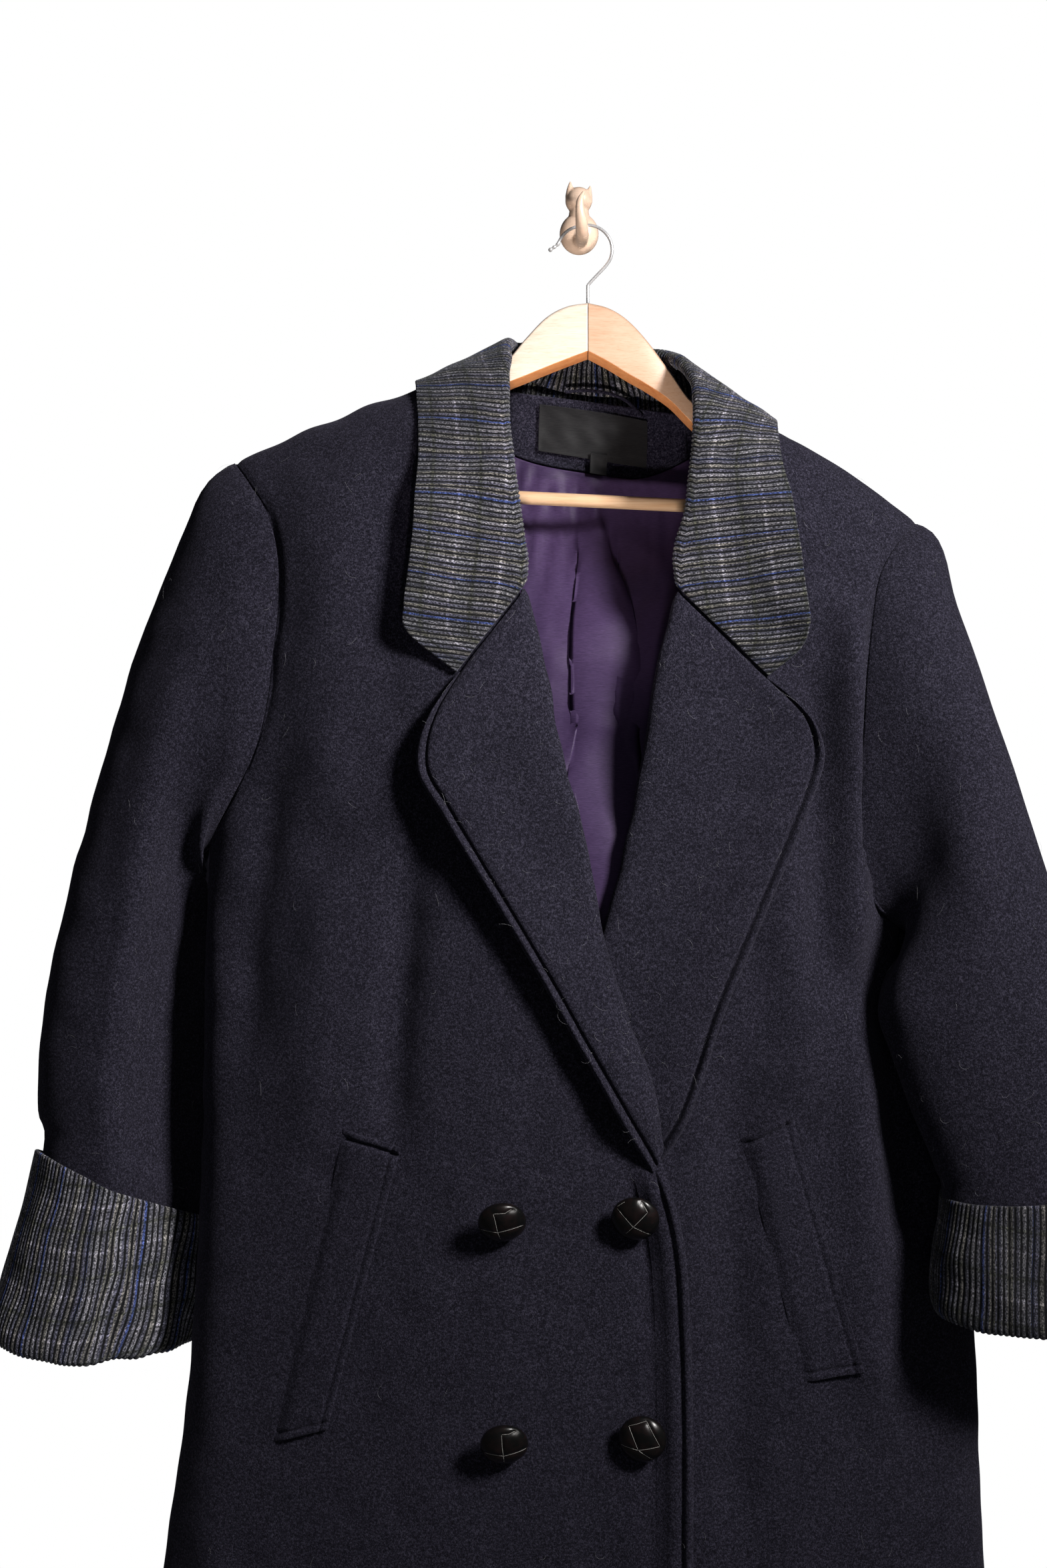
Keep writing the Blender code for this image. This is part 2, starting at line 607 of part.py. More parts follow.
# Collar, from the wearer's right gorge round the back of the neck to the left one.
# fold line x, y, z; outer edge x, y, z; size of the fold; length of the inner leg. y = 0 is "on the front"
COLLAR = np.array([
    (-0.0378, 0.000, -0.2730, -0.0850, 0.000, -0.3328, 0.0052, 0.0090),
    (-0.0372, 0.000, -0.2640, -0.1150, 0.000, -0.3075, 0.0052, 0.0090),
    (-0.0366, 0.000, -0.2545, -0.1172, 0.000, -0.2900, 0.0052, 0.0090),
    (-0.0410, 0.000, -0.2300, -0.1140, 0.000, -0.2600, 0.0052, 0.0085),
    (-0.0441, 0.000, -0.2083, -0.1112, 0.000, -0.2350, 0.0052, 0.0080),
    (-0.0480, 0.000, -0.1750, -0.1098, 0.000, -0.2000, 0.0052, 0.0070),
    (-0.0492, -0.113, -0.1460, -0.1100, -0.107, -0.1690, 0.0046, 0.0050),
    (-0.0490, -0.090, -0.1190, -0.1105, -0.082, -0.1450, 0.0043, 0.0030),
    (-0.0480, -0.058, -0.1010, -0.1115, -0.052, -0.1335, 0.0040, 0.0012),
    (-0.0420, -0.034, -0.0975, -0.0960, -0.018, -0.1420, 0.0045, 0.0060),
    (-0.0220, -0.0195, -0.0950, -0.0560, -0.007, -0.1600, 0.0052, 0.0240),
    (0.0120, -0.0145, -0.0950, 0.0120, -0.006, -0.1680, 0.0054, 0.0310),
    (0.0440, -0.0195, -0.0985, 0.0820, -0.007, -0.1680, 0.0052, 0.0280),
    (0.0600, -0.034, -0.1050, 0.1180, -0.018, -0.1600, 0.0046, 0.0090),
    (0.0660, -0.058, -0.1130, 0.1309, -0.052, -0.1590, 0.0044, 0.0030),
    (0.0735, -0.090, -0.1330, 0.1312, -0.082, -0.1680, 0.0044, 0.0040),
    (0.0735, -0.113, -0.1600, 0.1325, -0.107, -0.1900, 0.0046, 0.0060),
    (0.0720, 0.000, -0.1850, 0.1345, 0.000, -0.2150, 0.0052, 0.0070),
    (0.0680, 0.000, -0.2150, 0.1395, 0.000, -0.2440, 0.0052, 0.0080),
    (0.0620, 0.000, -0.2450, 0.1450, 0.000, -0.2780, 0.0052, 0.0085),
    (0.0597, 0.000, -0.2590, 0.1475, 0.000, -0.3020, 0.0052, 0.0090),
    (0.0602, 0.000, -0.2665, 0.1435, 0.000, -0.3170, 0.0052, 0.0090),
    (0.0606, 0.000, -0.2745, 0.1236, 0.000, -0.3350, 0.0052, 0.0090),
])


BACK_ROW = 11
COLLAR_LIE = 0.0016
COLLAR_MID = 0.0018


def height(p, side):
    """Roughly how far a point is outside the torso, and the way straight out."""
    def level(q):
        x, y, z = q[..., 0], q[..., 1], q[..., 2]
        ahead = y < MID_Y
        shift = np.where(ahead & (side < 0), lap(x, z), 0)
        deep = np.where(ahead, FRONT_DEEP, BACK_DEEP)
        drop = np.where(ahead, FRONT_DROP, BACK_DROP)
        wide = np.where(ahead, plan(x, z, FRONT_PLAN), plan(x, z, BACK_PLAN))
        b = np.maximum(np.abs(y - MID_Y) - shift, 0) / (deep * np.maximum(wide, 0.05))
        t = np.maximum(1 - (ridge(x) - z) / drop, 0)
        return (b**SHOULDER + t**SHOULDER) ** (1 / SHOULDER) - 1
    e = 5e-5
    slope = np.stack([(level(p + step) - level(p - step)) / (2 * e) for step in np.eye(3) * e], -1)
    size = np.maximum(np.linalg.norm(slope, axis=-1, keepdims=True), 1e-9)
    return level(p) / size[..., 0], slope / size


def raise_to(p, side, least, exact=False):
    for _ in range(6):
        far, way = height(p, side)
        need = least - far
        if not exact:
            need = np.maximum(need, 0)
        p = p + way * need[..., None]
    return p


def collar(name):
    keys = np.column_stack([np.arange(len(COLLAR)), COLLAR])
    for row in keys:
        side = -1 if row[0] < BACK_ROW else 1
        for at, off in ((2, COLLAR_MID), (5, -(COLLAR_LIE + CORD))):
            if row[at] == 0:
                row[at] = front_y(row[at - 1], row[at + 1], side) + off
    last = len(COLLAR) - 1
    steps = np.concatenate([[0, 1], np.arange(2, last - 1.9, 1 / 2), [last - 1, last]])
    rows = np.array([[table(keys, c, t) for c in range(1, 9)] for t in steps])
    sides = np.where(steps < BACK_ROW, -1, 1)
    fold = rows[:, 0:3]
    edge = raise_to(rows[:, 3:6], sides, COLLAR_LIE + CORD, True)
    run = unit(np.gradient(fold, axis=0))
    across = np.array([0.12, 0.28, 0.46, 0.64, 0.82, 1.0])
    grid = []
    for i in range(len(rows)):
        way = unit(edge[i] - fold[i])
        up = unit(np.cross(run[i], way))
        size, leg = rows[i, 6:8]
        line = [fold[i] + way * (size + leg) - up * size]
        for bend in BEND:
            line.append(fold[i] + way * size * (1 - np.cos(bend)) + up * size * np.sin(bend))
        start = line[-1]
        leaf = start + (edge[i] - start) * across[:, None]
        puff = PUFF * np.sin(np.pi * across**0.6)
        leaf = raise_to(leaf, sides[i], COLLAR_LIE + CORD + puff)
        grid.append(np.concatenate([line, leaf]))
    grid = np.array(grid)
    turned = grid_normals(grid, False)
    turned *= -np.sign(turned[1, -2, 1])
    shell(name, grid, turned, CORD, False, CHECK)


# Pocket welts: x, z of the corners, top inner, top outer, low outer, low inner
WELT_RIGHT = ((-0.1219, -0.6486), (-0.1610, -0.6370), (-0.2087, -0.8493), (-0.1713, -0.8382))
WELT_LEFT = ((0.1055, -0.6440), (0.1390, -0.6270), (0.1868, -0.8000), (0.1475, -0.8070))


def welt(name, side, corners):
    a, b, c, d = (np.array(p) for p in corners)
    u = np.linspace(0, 1, 4)[None, :, None]
    v = np.linspace(0, 1, 9)[:, None, None]
    flat = (a * (1 - u) + b * u) * (1 - v) + (d * (1 - u) + c * u) * v
    x, z = flat[..., 0], flat[..., 1]
    grid = np.stack([x, front_y(x, z, side) - WOOL - LIE, z], -1)
    shell(name, grid, facing(front_y, x, z, side, 1), WOOL)


# Inside the back of the neck
FACING_LOW = np.array([
    (-0.060, -0.1680), (-0.0500, -0.1727), (-0.0258, -0.1808), (-0.0073, -0.1840), (0.0193, -0.1880),
    (0.0397, -0.1900), (0.0624, -0.1836), (0.0757, -0.1765), (0.090, -0.1700),
])
INSIDE = WOOL + 0.0022


def neck_seam(x):
    return -0.1345 - 0.13 * (x - NECK_X)


def inside(name, low_x, high_x, cols, rows, top, low, off, wall, finish, wave=None):
    """A piece lying inside the back: off is how far its face is in front of the back's inner face."""
    x = np.linspace(low_x, high_x, cols)
    v = np.linspace(0, 1, rows)[:, None]
    z = top(x) + (low(x) - top(x)) * v
    x = x + 0 * z
    deep = off + (0 * x if wave is None else wave(x, z))
    out = facing(back_y, x, z, 1, -1)
    grid = np.stack([x, back_y(x, z), z], -1) - out * (WOOL + deep)[..., None]
    turned = grid_normals(grid, False)
    turned *= -np.sign(turned[1, 1, 1])
    shell(name, grid, turned, wall, False, finish)


def pleat(x, z):
    """The lining's centre pleat and its slow side waves."""
    middle = 0.012 + 0.02 * (-0.2 - z)
    fall = ease((-0.17 - z) / 0.12)
    ridge_line = 0.0050 * np.exp(-(((x - middle) / 0.0075) ** 2))
    waves = 0.0022 * np.sin((x - middle) * 95 + 6 * z) + 0.0015 * np.sin(x * 40 - z * 14)
    return SATIN + 0.0030 + 0.0015 * fall + (ridge_line + waves) * (0.15 + 0.85 * fall)


def tilted(name, corners, off, wall, finish):
    """A flat tab on the neck facing: x, z of its corners, top left, top right, low right, low left."""
    a, b, c, d = (np.array(p) for p in corners)
    u = np.linspace(0, 1, 7)[None, :, None]
    v = np.linspace(0, 1, 4)[:, None, None]
    flat = (a * (1 - u) + b * u) * (1 - v) + (d * (1 - u) + c * u) * v
    x, z = flat[..., 0], flat[..., 1]
    out = facing(back_y, x, z, 1, -1)
    grid = np.stack([x, back_y(x, z), z], -1) - out * (WOOL + off)
    turned = grid_normals(grid, False)
    turned *= -np.sign(turned[1, 1, 1])
    shell(name, grid, turned, wall, False, finish)


# The hang loop's middle line: x, z
LOOP = ((-0.0100, -0.1300), (0.0040, -0.1290), (0.0200, -0.1310), (0.0330, -0.1365), (0.0440, -0.1470))
LOOP_Y = -0.0240
LOOP_CORD = 0.0012

# Buttons: x, z, stand-off, tilt down, tilt sideways in degrees
BUTTONS = (
    (-0.0541, -0.6935, 0.0125, 34, 4), (0.0334, -0.6917, 0.0105, 24, -8),
    (-0.0527, -0.8394, 0.0115, 30, 3), (0.0382, -0.8367, 0.0085, 12, -10),
)
SHANK = 0.0024
SHANK_FOOT = 0.0006
BUTTON_SIDES = 14
# The dome's profile, radius and height, from its lip up, with its top and the edge of its foot
DOME = ((0.0150, -0.0016), (0.0158, 0.0004), (0.0150, 0.0026), (0.0118, 0.0056), (0.0066, 0.0078))
DOME_TOP = 0.0084
DOME_FOOT = (0.0085, -0.0034)


def button(name, x, z, stand, down, aside):
    """A turned dome, tilted on its shank."""
    profile = [(0, DOME_TOP), *reversed(DOME), DOME_FOOT, (0, DOME_FOOT[1] - 0.0002)]
    mesh = bpy.data.meshes.new(name)
    edges = [(i, i + 1) for i in range(len(profile) - 1)]
    mesh.from_pydata([(r, 0, h) for r, h in profile], edges, [])
    axis = Vector((np.tan(np.radians(aside)), -1, -np.tan(np.radians(down))))
    turn = axis.to_track_quat("Z", "Y").to_matrix().to_4x4()
    base = float(front_y(x, z, -1))
    middle = Vector((x, base - stand, z))
    item = placed(name, mesh, LEATHER, Matrix.Translation(middle) @ turn)
    spin = item.modifiers.new("turned", "SCREW")
    spin.axis = "Z"
    spin.steps = BUTTON_SIDES
    spin.render_steps = BUTTON_SIDES
    spin.use_merge_vertices = True
    spin.merge_threshold = WELD
    foot = Vector((x, base - SHANK_FOOT, z + 0.001))
    shank = rod(name + "_shank", [foot, (foot + middle) / 2, middle], SHANK, 2, None)
    join(item, shank, "UNION")


def join(item, other, how):
    change = item.modifiers.new(other.name, "BOOLEAN")
    change.operation = how
    change.solver = "EXACT"
    change.object = other


# The hanger. Arms: x, top z, bottom z, y
ARM_WOOD_RIGHT = np.array([
    (0.0046, -0.0715, -0.1065, -0.0450), (-0.0100, -0.0740, -0.1120, -0.0450),
    (-0.0240, -0.0815, -0.1175, -0.0450), (-0.0380, -0.0960, -0.1232, -0.0455),
    (-0.0520, -0.1125, -0.1290, -0.0460), (-0.0680, -0.1245, -0.1390, -0.0465),
    (-0.1000, -0.1375, -0.1590, -0.0480), (-0.1430, -0.1525, -0.1790, -0.0510),
    (-0.1800, -0.1665, -0.2060, -0.0540), (-0.2050, -0.1785, -0.2130, -0.0560),
    (-0.2140, -0.1860, -0.2080, -0.0565),
])
ARM_WOOD_LEFT = np.array([
    (0.0050, -0.0715, -0.1065, -0.0450), (0.0190, -0.0750, -0.1140, -0.0450),
    (0.0320, -0.0830, -0.1220, -0.0450), (0.0460, -0.0980, -0.1300, -0.0455),
    (0.0620, -0.1200, -0.1410, -0.0460), (0.0780, -0.1415, -0.1570, -0.0465),
    (0.1000, -0.1520, -0.1750, -0.0480), (0.1400, -0.1720, -0.2000, -0.0510),
    (0.1750, -0.1950, -0.2320, -0.0540), (0.1990, -0.2110, -0.2430, -0.0560),
    (0.2080, -0.2190, -0.2400, -0.0565),
])
LEAN = 0.16
HALF_WOOD = 0.0061
SOFT = 0.0022
UNDERSIDE = 0.0040
BAR = 0.0046
BAR_HOLE = 0.0050
BAR_END = 0.0006


def arm(name, rows):
    grid = []
    for x, top, low, y in rows:
        mid = (top + low) / 2
        ring = []
        face = top - SOFT
        for side, level in ((-1, low), (-1, face), (-0.55, top), (0.55, top), (1, face), (1, low - UNDERSIDE)):
            ring.append((x, y + side * HALF_WOOD + (level - mid) * LEAN, level))
        grid.append(ring)
    grid = np.array(grid)
    count, around = grid.shape[:2]
    points = grid.reshape(-1, 3)
    faces = []
    for i in range(count - 1):
        for k in range(around):
            n = (k + 1) % around
            a = i * around
            faces.append((a + k, a + n, a + around + n, a + around + k))
    faces.append(tuple(range(around))[::-1])
    faces.append(tuple(range((count - 1) * around, count * around)))
    return lofted(name, points, faces, BEECH)


def hanger():
    left_end = np.array([-0.1930, -0.0550, -0.2010])
    right_end = np.array([0.1880, -0.0550, -0.2195])
    way = unit(right_end - left_end)
    ends = [left_end + way * BAR_END, right_end - way * BAR_END]
    rod("hanger_bar", ends, BAR, 6, BAR_BEECH)
    tool = rod("bar_hole", [left_end, right_end], BAR_HOLE, 6, None)
    for name, rows in (("hanger_arm_right", ARM_WOOD_RIGHT), ("hanger_arm_left", ARM_WOOD_LEFT)):
        join(arm(name, rows), tool, "DIFFERENCE")


# The wire hook, x and z of its middle line, and the cat
WIRE = 0.0011
WIRE_Y = -0.0410
WIRE_PATH = (
    (0.0050, -0.0708), (0.0050, -0.0591), (0.0057, -0.0573), (0.0117, -0.0508), (0.0173, -0.0449),
    (0.0204, -0.0403), (0.0217, -0.0361), (0.0219, -0.0318), (0.0208, -0.0270), (0.0184, -0.0228),
    (0.0148, -0.0193), (0.0104, -0.0170), (0.0058, -0.0161), (0.0009, -0.0164), (-0.0040, -0.0175),
    (-0.0084, -0.0195), (-0.0118, -0.0225), (-0.0142, -0.0259), (-0.0161, -0.0295), (-0.0186, -0.0315),
    (-0.0212, -0.0333),
)
WIRE_BEAD = 0.0017
EAR_Y = -0.0045
WALL_CUT = 0.12


def wire_hook():
    item = rod("hanger_hook", [(x, WIRE_Y, z) for x, z in WIRE_PATH], WIRE, 2, CHROME)
    x, z = WIRE_PATH[-1]
    join(item, lump("hook_ball", (x, WIRE_Y, z), (WIRE_BEAD, WIRE_BEAD, WIRE_BEAD), None, 6, 10), "UNION")


def lump(name, middle, radii, finish, rows=9, around=16):
    """An egg shape."""
    form = bmesh.new()
    bmesh.ops.create_uvsphere(
        form, u_segments=around, v_segments=rows, radius=1, matrix=Matrix.Diagonal((*radii, 1)),
    )
    mesh = bpy.data.meshes.new(name)
    form.to_mesh(mesh)
    form.free()
    return placed(name, mesh, finish, Matrix.Translation(middle))


def wall_hook():
    cat = lump("wall_hook", (-0.0002, -0.0010, -0.0130), (0.0140, 0.0120, 0.0151), COPPER)
    join(cat, lump("cat_head", (-0.0005, -0.0020, 0.0105), (0.0096, 0.0115, 0.0098), None), "UNION")
    for n, (x, z, lean) in enumerate(((-0.0068, 0.0160, 0.0006), (0.0058, 0.0130, 0.0018))):
        path = [(x, z - 0.004), (x + lean * 0.4, z + 0.002), (x + lean, z + 0.0068)]
        path = [(x_ear, EAR_Y, z_ear) for x_ear, z_ear in path]
        join(cat, rod(f"cat_ear_{n}", path, (0.0034, 0.0024, 0.0008), 2, None), "UNION")
    tail = [
        (0.0003, -0.0060, -0.0182), (0.0006, -0.0180, -0.0216), (0.0010, -0.0320, -0.0228),
        (0.0010, -0.0440, -0.0226), (0.0004, -0.0528, -0.0178), (-0.0008, -0.0566, -0.0100),
        (-0.0006, -0.0562, -0.0022), (0.0020, -0.0545, 0.0042),
    ]
    thick = (0.0056, 0.0050, 0.0047, 0.0047, 0.0042, 0.0032, 0.0025, 0.0014)
    join(cat, rod("cat_tail", tail, thick, 4, None), "UNION")
    form = bmesh.new()
    bmesh.ops.create_cube(form, size=WALL_CUT)
    cut = bpy.data.meshes.new("wall_cut")
    form.to_mesh(cut)
    form.free()
    join(cat, placed("wall_cut", cut, None, Matrix.Translation((0, WALL_CUT / 2, 0))), "DIFFERENCE")


for item in list(bpy.data.objects):
    bpy.data.objects.remove(item, do_unlink=True)
COAT = bpy.data.collections.new("coat")
CUTTERS = bpy.data.collections.new("cutters")
for group in (COAT, CUTTERS):
    bpy.context.scene.collection.children.link(group)
HOOK_POINT = bpy.data.objects.new("hook_point", None)
COAT.objects.link(HOOK_POINT)

front_panel("front_right", -1, OPEN_RIGHT, 16)
front_panel("front_left", 1, OPEN_LEFT, 15)
back_panel("back", 6)
sleeve("sleeve_right", -1)
sleeve("sleeve_left", 1)
cuff("cuff_right", -1)
cuff("cuff_left", 1)
lapel("lapel_right", -1, LAPEL_RIGHT)
lapel("lapel_left", 1, LAPEL_LEFT)
collar("collar")
welt("pocket_welt_right", -1, WELT_RIGHT)
welt("pocket_welt_left", 1, WELT_LEFT)
for number, place in enumerate(BUTTONS, 1):
    button(f"button_{number}", *place)
inside(
    "neck_facing", -0.052, 0.076, 12, 5, lambda x: neck_seam(x) - 0.0006,
    lambda x: table(FACING_LOW, 1, x), INSIDE, WOOL, NAVY,
)
inside(
    "lining_back", -0.085, 0.108, 15, 11, lambda x: table(FACING_LOW, 1, np.clip(x, -0.06, 0.09)) - 0.0010,
    lambda x: -0.62 + 0 * x, 0, SATIN, PURPLE, pleat,
)
tilted(
    "neck_label", ((-0.0291, -0.1355), (0.0485, -0.1480), (0.0470, -0.1835), (-0.0296, -0.1712)),
    INSIDE + 0.0022, 0.001, RIBBON,
)
tilted(
    "size_tab", ((0.0074, -0.1730), (0.0192, -0.1748), (0.0186, -0.1892), (0.0068, -0.1872)),
    INSIDE + 0.0042, 0.001, RIBBON,
)
rod("hang_loop", [(x, LOOP_Y, z) for x, z in LOOP], LOOP_CORD, 2, BRAID)
hanger()
wire_hook()
wall_hook()
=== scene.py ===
"""Looks of a navy wool coat with a checked corduroy collar and cuffs, on its hanger and its wall hook.

Metres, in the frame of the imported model: X to the viewer's right, Z up, the viewer at -Y, the wall at
y = 0. Names say the wearer's side: "right" is at -X. The surfaces follow the same curves as the
solids, drawn finer, with their folds, seams, edges and wales on top.
"""

import bmesh
import bpy
import numpy as np
from mathutils import Matrix, Vector


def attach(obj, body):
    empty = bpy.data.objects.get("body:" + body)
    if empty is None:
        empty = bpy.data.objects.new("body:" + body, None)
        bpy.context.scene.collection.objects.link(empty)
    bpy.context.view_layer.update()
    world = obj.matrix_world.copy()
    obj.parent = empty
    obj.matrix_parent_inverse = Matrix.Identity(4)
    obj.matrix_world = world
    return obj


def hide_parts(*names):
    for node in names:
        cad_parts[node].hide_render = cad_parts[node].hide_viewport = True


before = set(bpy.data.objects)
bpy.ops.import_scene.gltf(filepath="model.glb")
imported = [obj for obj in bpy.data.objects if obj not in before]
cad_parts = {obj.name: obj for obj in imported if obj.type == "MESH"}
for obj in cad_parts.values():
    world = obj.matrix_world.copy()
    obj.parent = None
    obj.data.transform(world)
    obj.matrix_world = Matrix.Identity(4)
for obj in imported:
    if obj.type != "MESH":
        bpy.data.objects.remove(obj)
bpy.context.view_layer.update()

# The camera: where it stands and its lens, in millimetres for a 36 mm frame on the long side
CAMERA_AT = (-0.040, -1.720, -0.407)
LENS = 55.1

# Cloth and seams
WOOL = 0.0024
CORD = 0.0026
SATIN = 0.0012
HALF_SEAM = 0.00017
LIE = 0.0009

# The torso: centre, depth in front and behind, roundness of the plan and of the shoulders
MID_X = -0.008
MID_Y = -0.058
FRONT_DEEP = 0.066
BACK_DEEP = 0.047
FRONT_PLAN = 2.4
BACK_PLAN = 3.0
SHOULDER = 2.3
FRONT_DROP = 0.115
BACK_DROP = 0.050
HEM = -1.285

# Rows of the panels: from the shoulder to the underarm, and on down to the hem
ARM_ROWS = 12
SKIRT_ROWS = 13

# Shoulder line: x, z
RIDGE = np.array([
    (-0.330, -0.222), (-0.240, -0.1843), (-0.190, -0.1620), (-0.143, -0.1440), (-0.100, -0.1285),
    (-0.068, -0.1170), (0.012, -0.1060), (0.092, -0.1375), (0.131, -0.1590), (0.157, -0.1736),
    (0.195, -0.1975), (0.233, -0.2259), (0.320, -0.290),
])
# Side seams: drop below the hook, x on the wearer's right, x on the wearer's left
SIDES = np.array([
    (0.150, -0.2585, 0.2510), (0.300, -0.2585, 0.2500), (0.460, -0.2585, 0.2260),
    (0.509, -0.2585, 0.2220), (0.600, -0.2590, 0.2500), (0.725, -0.2635, 0.2680),
    (0.850, -0.2750, 0.2740), (0.934, -0.2870, 0.2780), (1.290, -0.3270, 0.2980),
])
# Front armhole seams: drop, x. The first row is the shoulder point, the last one the underarm
ARM_RIGHT = np.array([
    (0.1843, -0.2400), (0.1920, -0.2340), (0.2275, -0.2115), (0.2600, -0.2047), (0.2870, -0.2048),
    (0.3220, -0.2090), (0.3680, -0.2160), (0.4000, -0.2277), (0.4295, -0.2450), (0.4540, -0.2585),
])
ARM_LEFT = np.array([
    (0.2259, 0.2330), (0.2320, 0.2250), (0.2530, 0.2070), (0.2970, 0.1945), (0.3450, 0.1900),
    (0.4230, 0.1877), (0.4700, 0.1900), (0.4960, 0.2030), (0.5090, 0.2220),
])
# Lapels: roll line x, z and outer edge x, z, from the gorge to the break
LAPEL_RIGHT = np.array([
    (-0.0378, -0.2765, -0.0852, -0.3365), (-0.0330, -0.2960, -0.0950, -0.3520),
    (-0.0266, -0.3203, -0.1020, -0.3650), (-0.0210, -0.3480, -0.1078, -0.3850),
    (-0.0173, -0.3700, -0.1065, -0.4020), (-0.0110, -0.3980, -0.0947, -0.4220),
    (-0.0040, -0.4226, -0.0830, -0.4420), (0.0040, -0.4560, -0.0676, -0.4680),
    (0.0095, -0.4880, -0.0470, -0.5030), (0.0165, -0.5200, -0.0267, -0.5380),
    (0.0281, -0.5654, -0.0050, -0.5760), (0.0400, -0.6040, 0.0170, -0.6140),
    (0.0480, -0.6290, 0.0330, -0.6430), (0.0540, -0.6480, 0.0450, -0.6650),
])
LAPEL_LEFT = np.array([
    (0.0606, -0.2780, 0.1240, -0.3385), (0.0560, -0.2980, 0.1400, -0.3530),
    (0.0500, -0.3200, 0.1527, -0.3680), (0.0440, -0.3500, 0.1576, -0.3850),
    (0.0414, -0.3723, 0.1540, -0.4050), (0.0370, -0.3980, 0.1416, -0.4380),
    (0.0325, -0.4226, 0.1305, -0.4650), (0.0265, -0.4500, 0.1189, -0.4930),
    (0.0200, -0.4780, 0.1075, -0.5200), (0.0143, -0.4973, 0.0962, -0.5470),
    (0.0060, -0.5300, 0.0865, -0.5740), (-0.0030, -0.5620, 0.0779, -0.6020),
    (-0.0130, -0.5950, 0.0640, -0.6370), (-0.0240, -0.6300, 0.0420, -0.6720),
])
# Inner edges of the fronts above and below the lapels: drop, x
NECK_RIGHT = ((0.1170, -0.0680), (0.1500, -0.0650), (0.2000, -0.0580), (0.2500, -0.0450))
NECK_LEFT = ((0.1375, 0.0920), (0.1700, 0.0880), (0.2200, 0.0770), (0.2550, 0.0670))
EDGE_RIGHT = ((0.6780, 0.0575), (0.7100, 0.0655), (0.7550, 0.0690), (0.9300, 0.0717), (1.2900, 0.0730))
EDGE_LEFT = ((0.6650, -0.0330), (0.7000, -0.0560), (0.7400, -0.0820), (0.8000, -0.0880), (1.2900, -0.0900))
BEHIND_ROLL = 0.0052


def open_edge(neck, rows, side, low):
    """A front's inner edge: the neck, a little behind the lapel's roll line, and the front edge."""
    roll = [(-z, x + side * BEHIND_ROLL) for x, z, _, _ in rows]
    return np.array(list(neck) + roll + list(low))


OPEN_RIGHT = open_edge(NECK_RIGHT, LAPEL_RIGHT, -1, EDGE_RIGHT)
OPEN_LEFT = open_edge(NECK_LEFT, LAPEL_LEFT, 1, EDGE_LEFT)


def table(rows, column, at):
    """A smooth curve through one column of a table, straight beyond its ends."""
    x = rows[:, 0]
    y = rows[:, column]
    slope = np.gradient(y, x)
    at = np.asarray(at, float)
    i = np.clip(np.searchsorted(x, at) - 1, 0, len(x) - 2)
    step = x[i + 1] - x[i]
    t = np.clip((at - x[i]) / step, 0, 1)
    bend = (
        (2 * t**3 - 3 * t**2 + 1) * y[i]
        + (t**3 - 2 * t**2 + t) * step * slope[i]
        + (3 * t**2 - 2 * t**3) * y[i + 1]
        + (t**3 - t**2) * step * slope[i + 1]
    )
    return bend + np.minimum(at - x[0], 0) * slope[0] + np.maximum(at - x[-1], 0) * slope[-1]


def ease(t):
    t = np.clip(t, 0, 1)
    return t * t * (3 - 2 * t)


def unit(v):
    return v / np.maximum(np.linalg.norm(v, axis=-1, keepdims=True), 1e-12)


def ridge(x):
    return table(RIDGE, 1, x)


def side_x(side, z):
    return table(SIDES, 1 if side < 0 else 2, -z)


def arm_table(side):
    return ARM_RIGHT if side < 0 else ARM_LEFT


def lap(x, z):
    """How far the wearer's right front stands off where it laps over the left one."""
    return 0.0120 * ease((x + 0.19) / 0.14) * ease((-0.24 - z) / 0.16)


def flute(x, z):
    """Slow waves of the skirt, growing to the hem."""
    return 0.006 * ease((-0.75 - z) / 0.5) * np.sin((x - 0.03) * 24)


def plan(x, z, power):
    left = MID_X - side_x(-1, z)
    right = side_x(1, z) - MID_X
    a = np.abs(x - MID_X) / np.where(x < MID_X, left, right)
    return np.maximum(1 - np.minimum(a, 1) ** power, 0) ** (1 / power)


def arch(x, z, drop):
    t = np.clip(1 - (ridge(x) - z) / drop, 0, 1)
    return np.maximum(1 - t**SHOULDER, 0) ** (1 / SHOULDER)


def front_y(x, z, side=1):
    q = plan(x, z, FRONT_PLAN)
    y = MID_Y - FRONT_DEEP * q * arch(x, z, FRONT_DROP) - flute(x, z) * q
    return y - (lap(x, z) if side < 0 else 0)


def back_y(x, z, side=1):
    q = plan(x, z, BACK_PLAN)
    return MID_Y + BACK_DEEP * q * arch(x, z, BACK_DROP) - flute(x, z) * q * 0.3 - 0.001 * q


def facing(surface, x, z, side, sign):
    """Outward normal of y = surface(x, z)."""
    e = 2e-5
    dx = (surface(x + e, z, side) - surface(x - e, z, side)) / (2 * e)
    dz = (surface(x, z + e, side) - surface(x, z - e, side)) / (2 * e)
    return unit(np.stack([dx, -np.ones_like(dx), dz], -1) * sign)


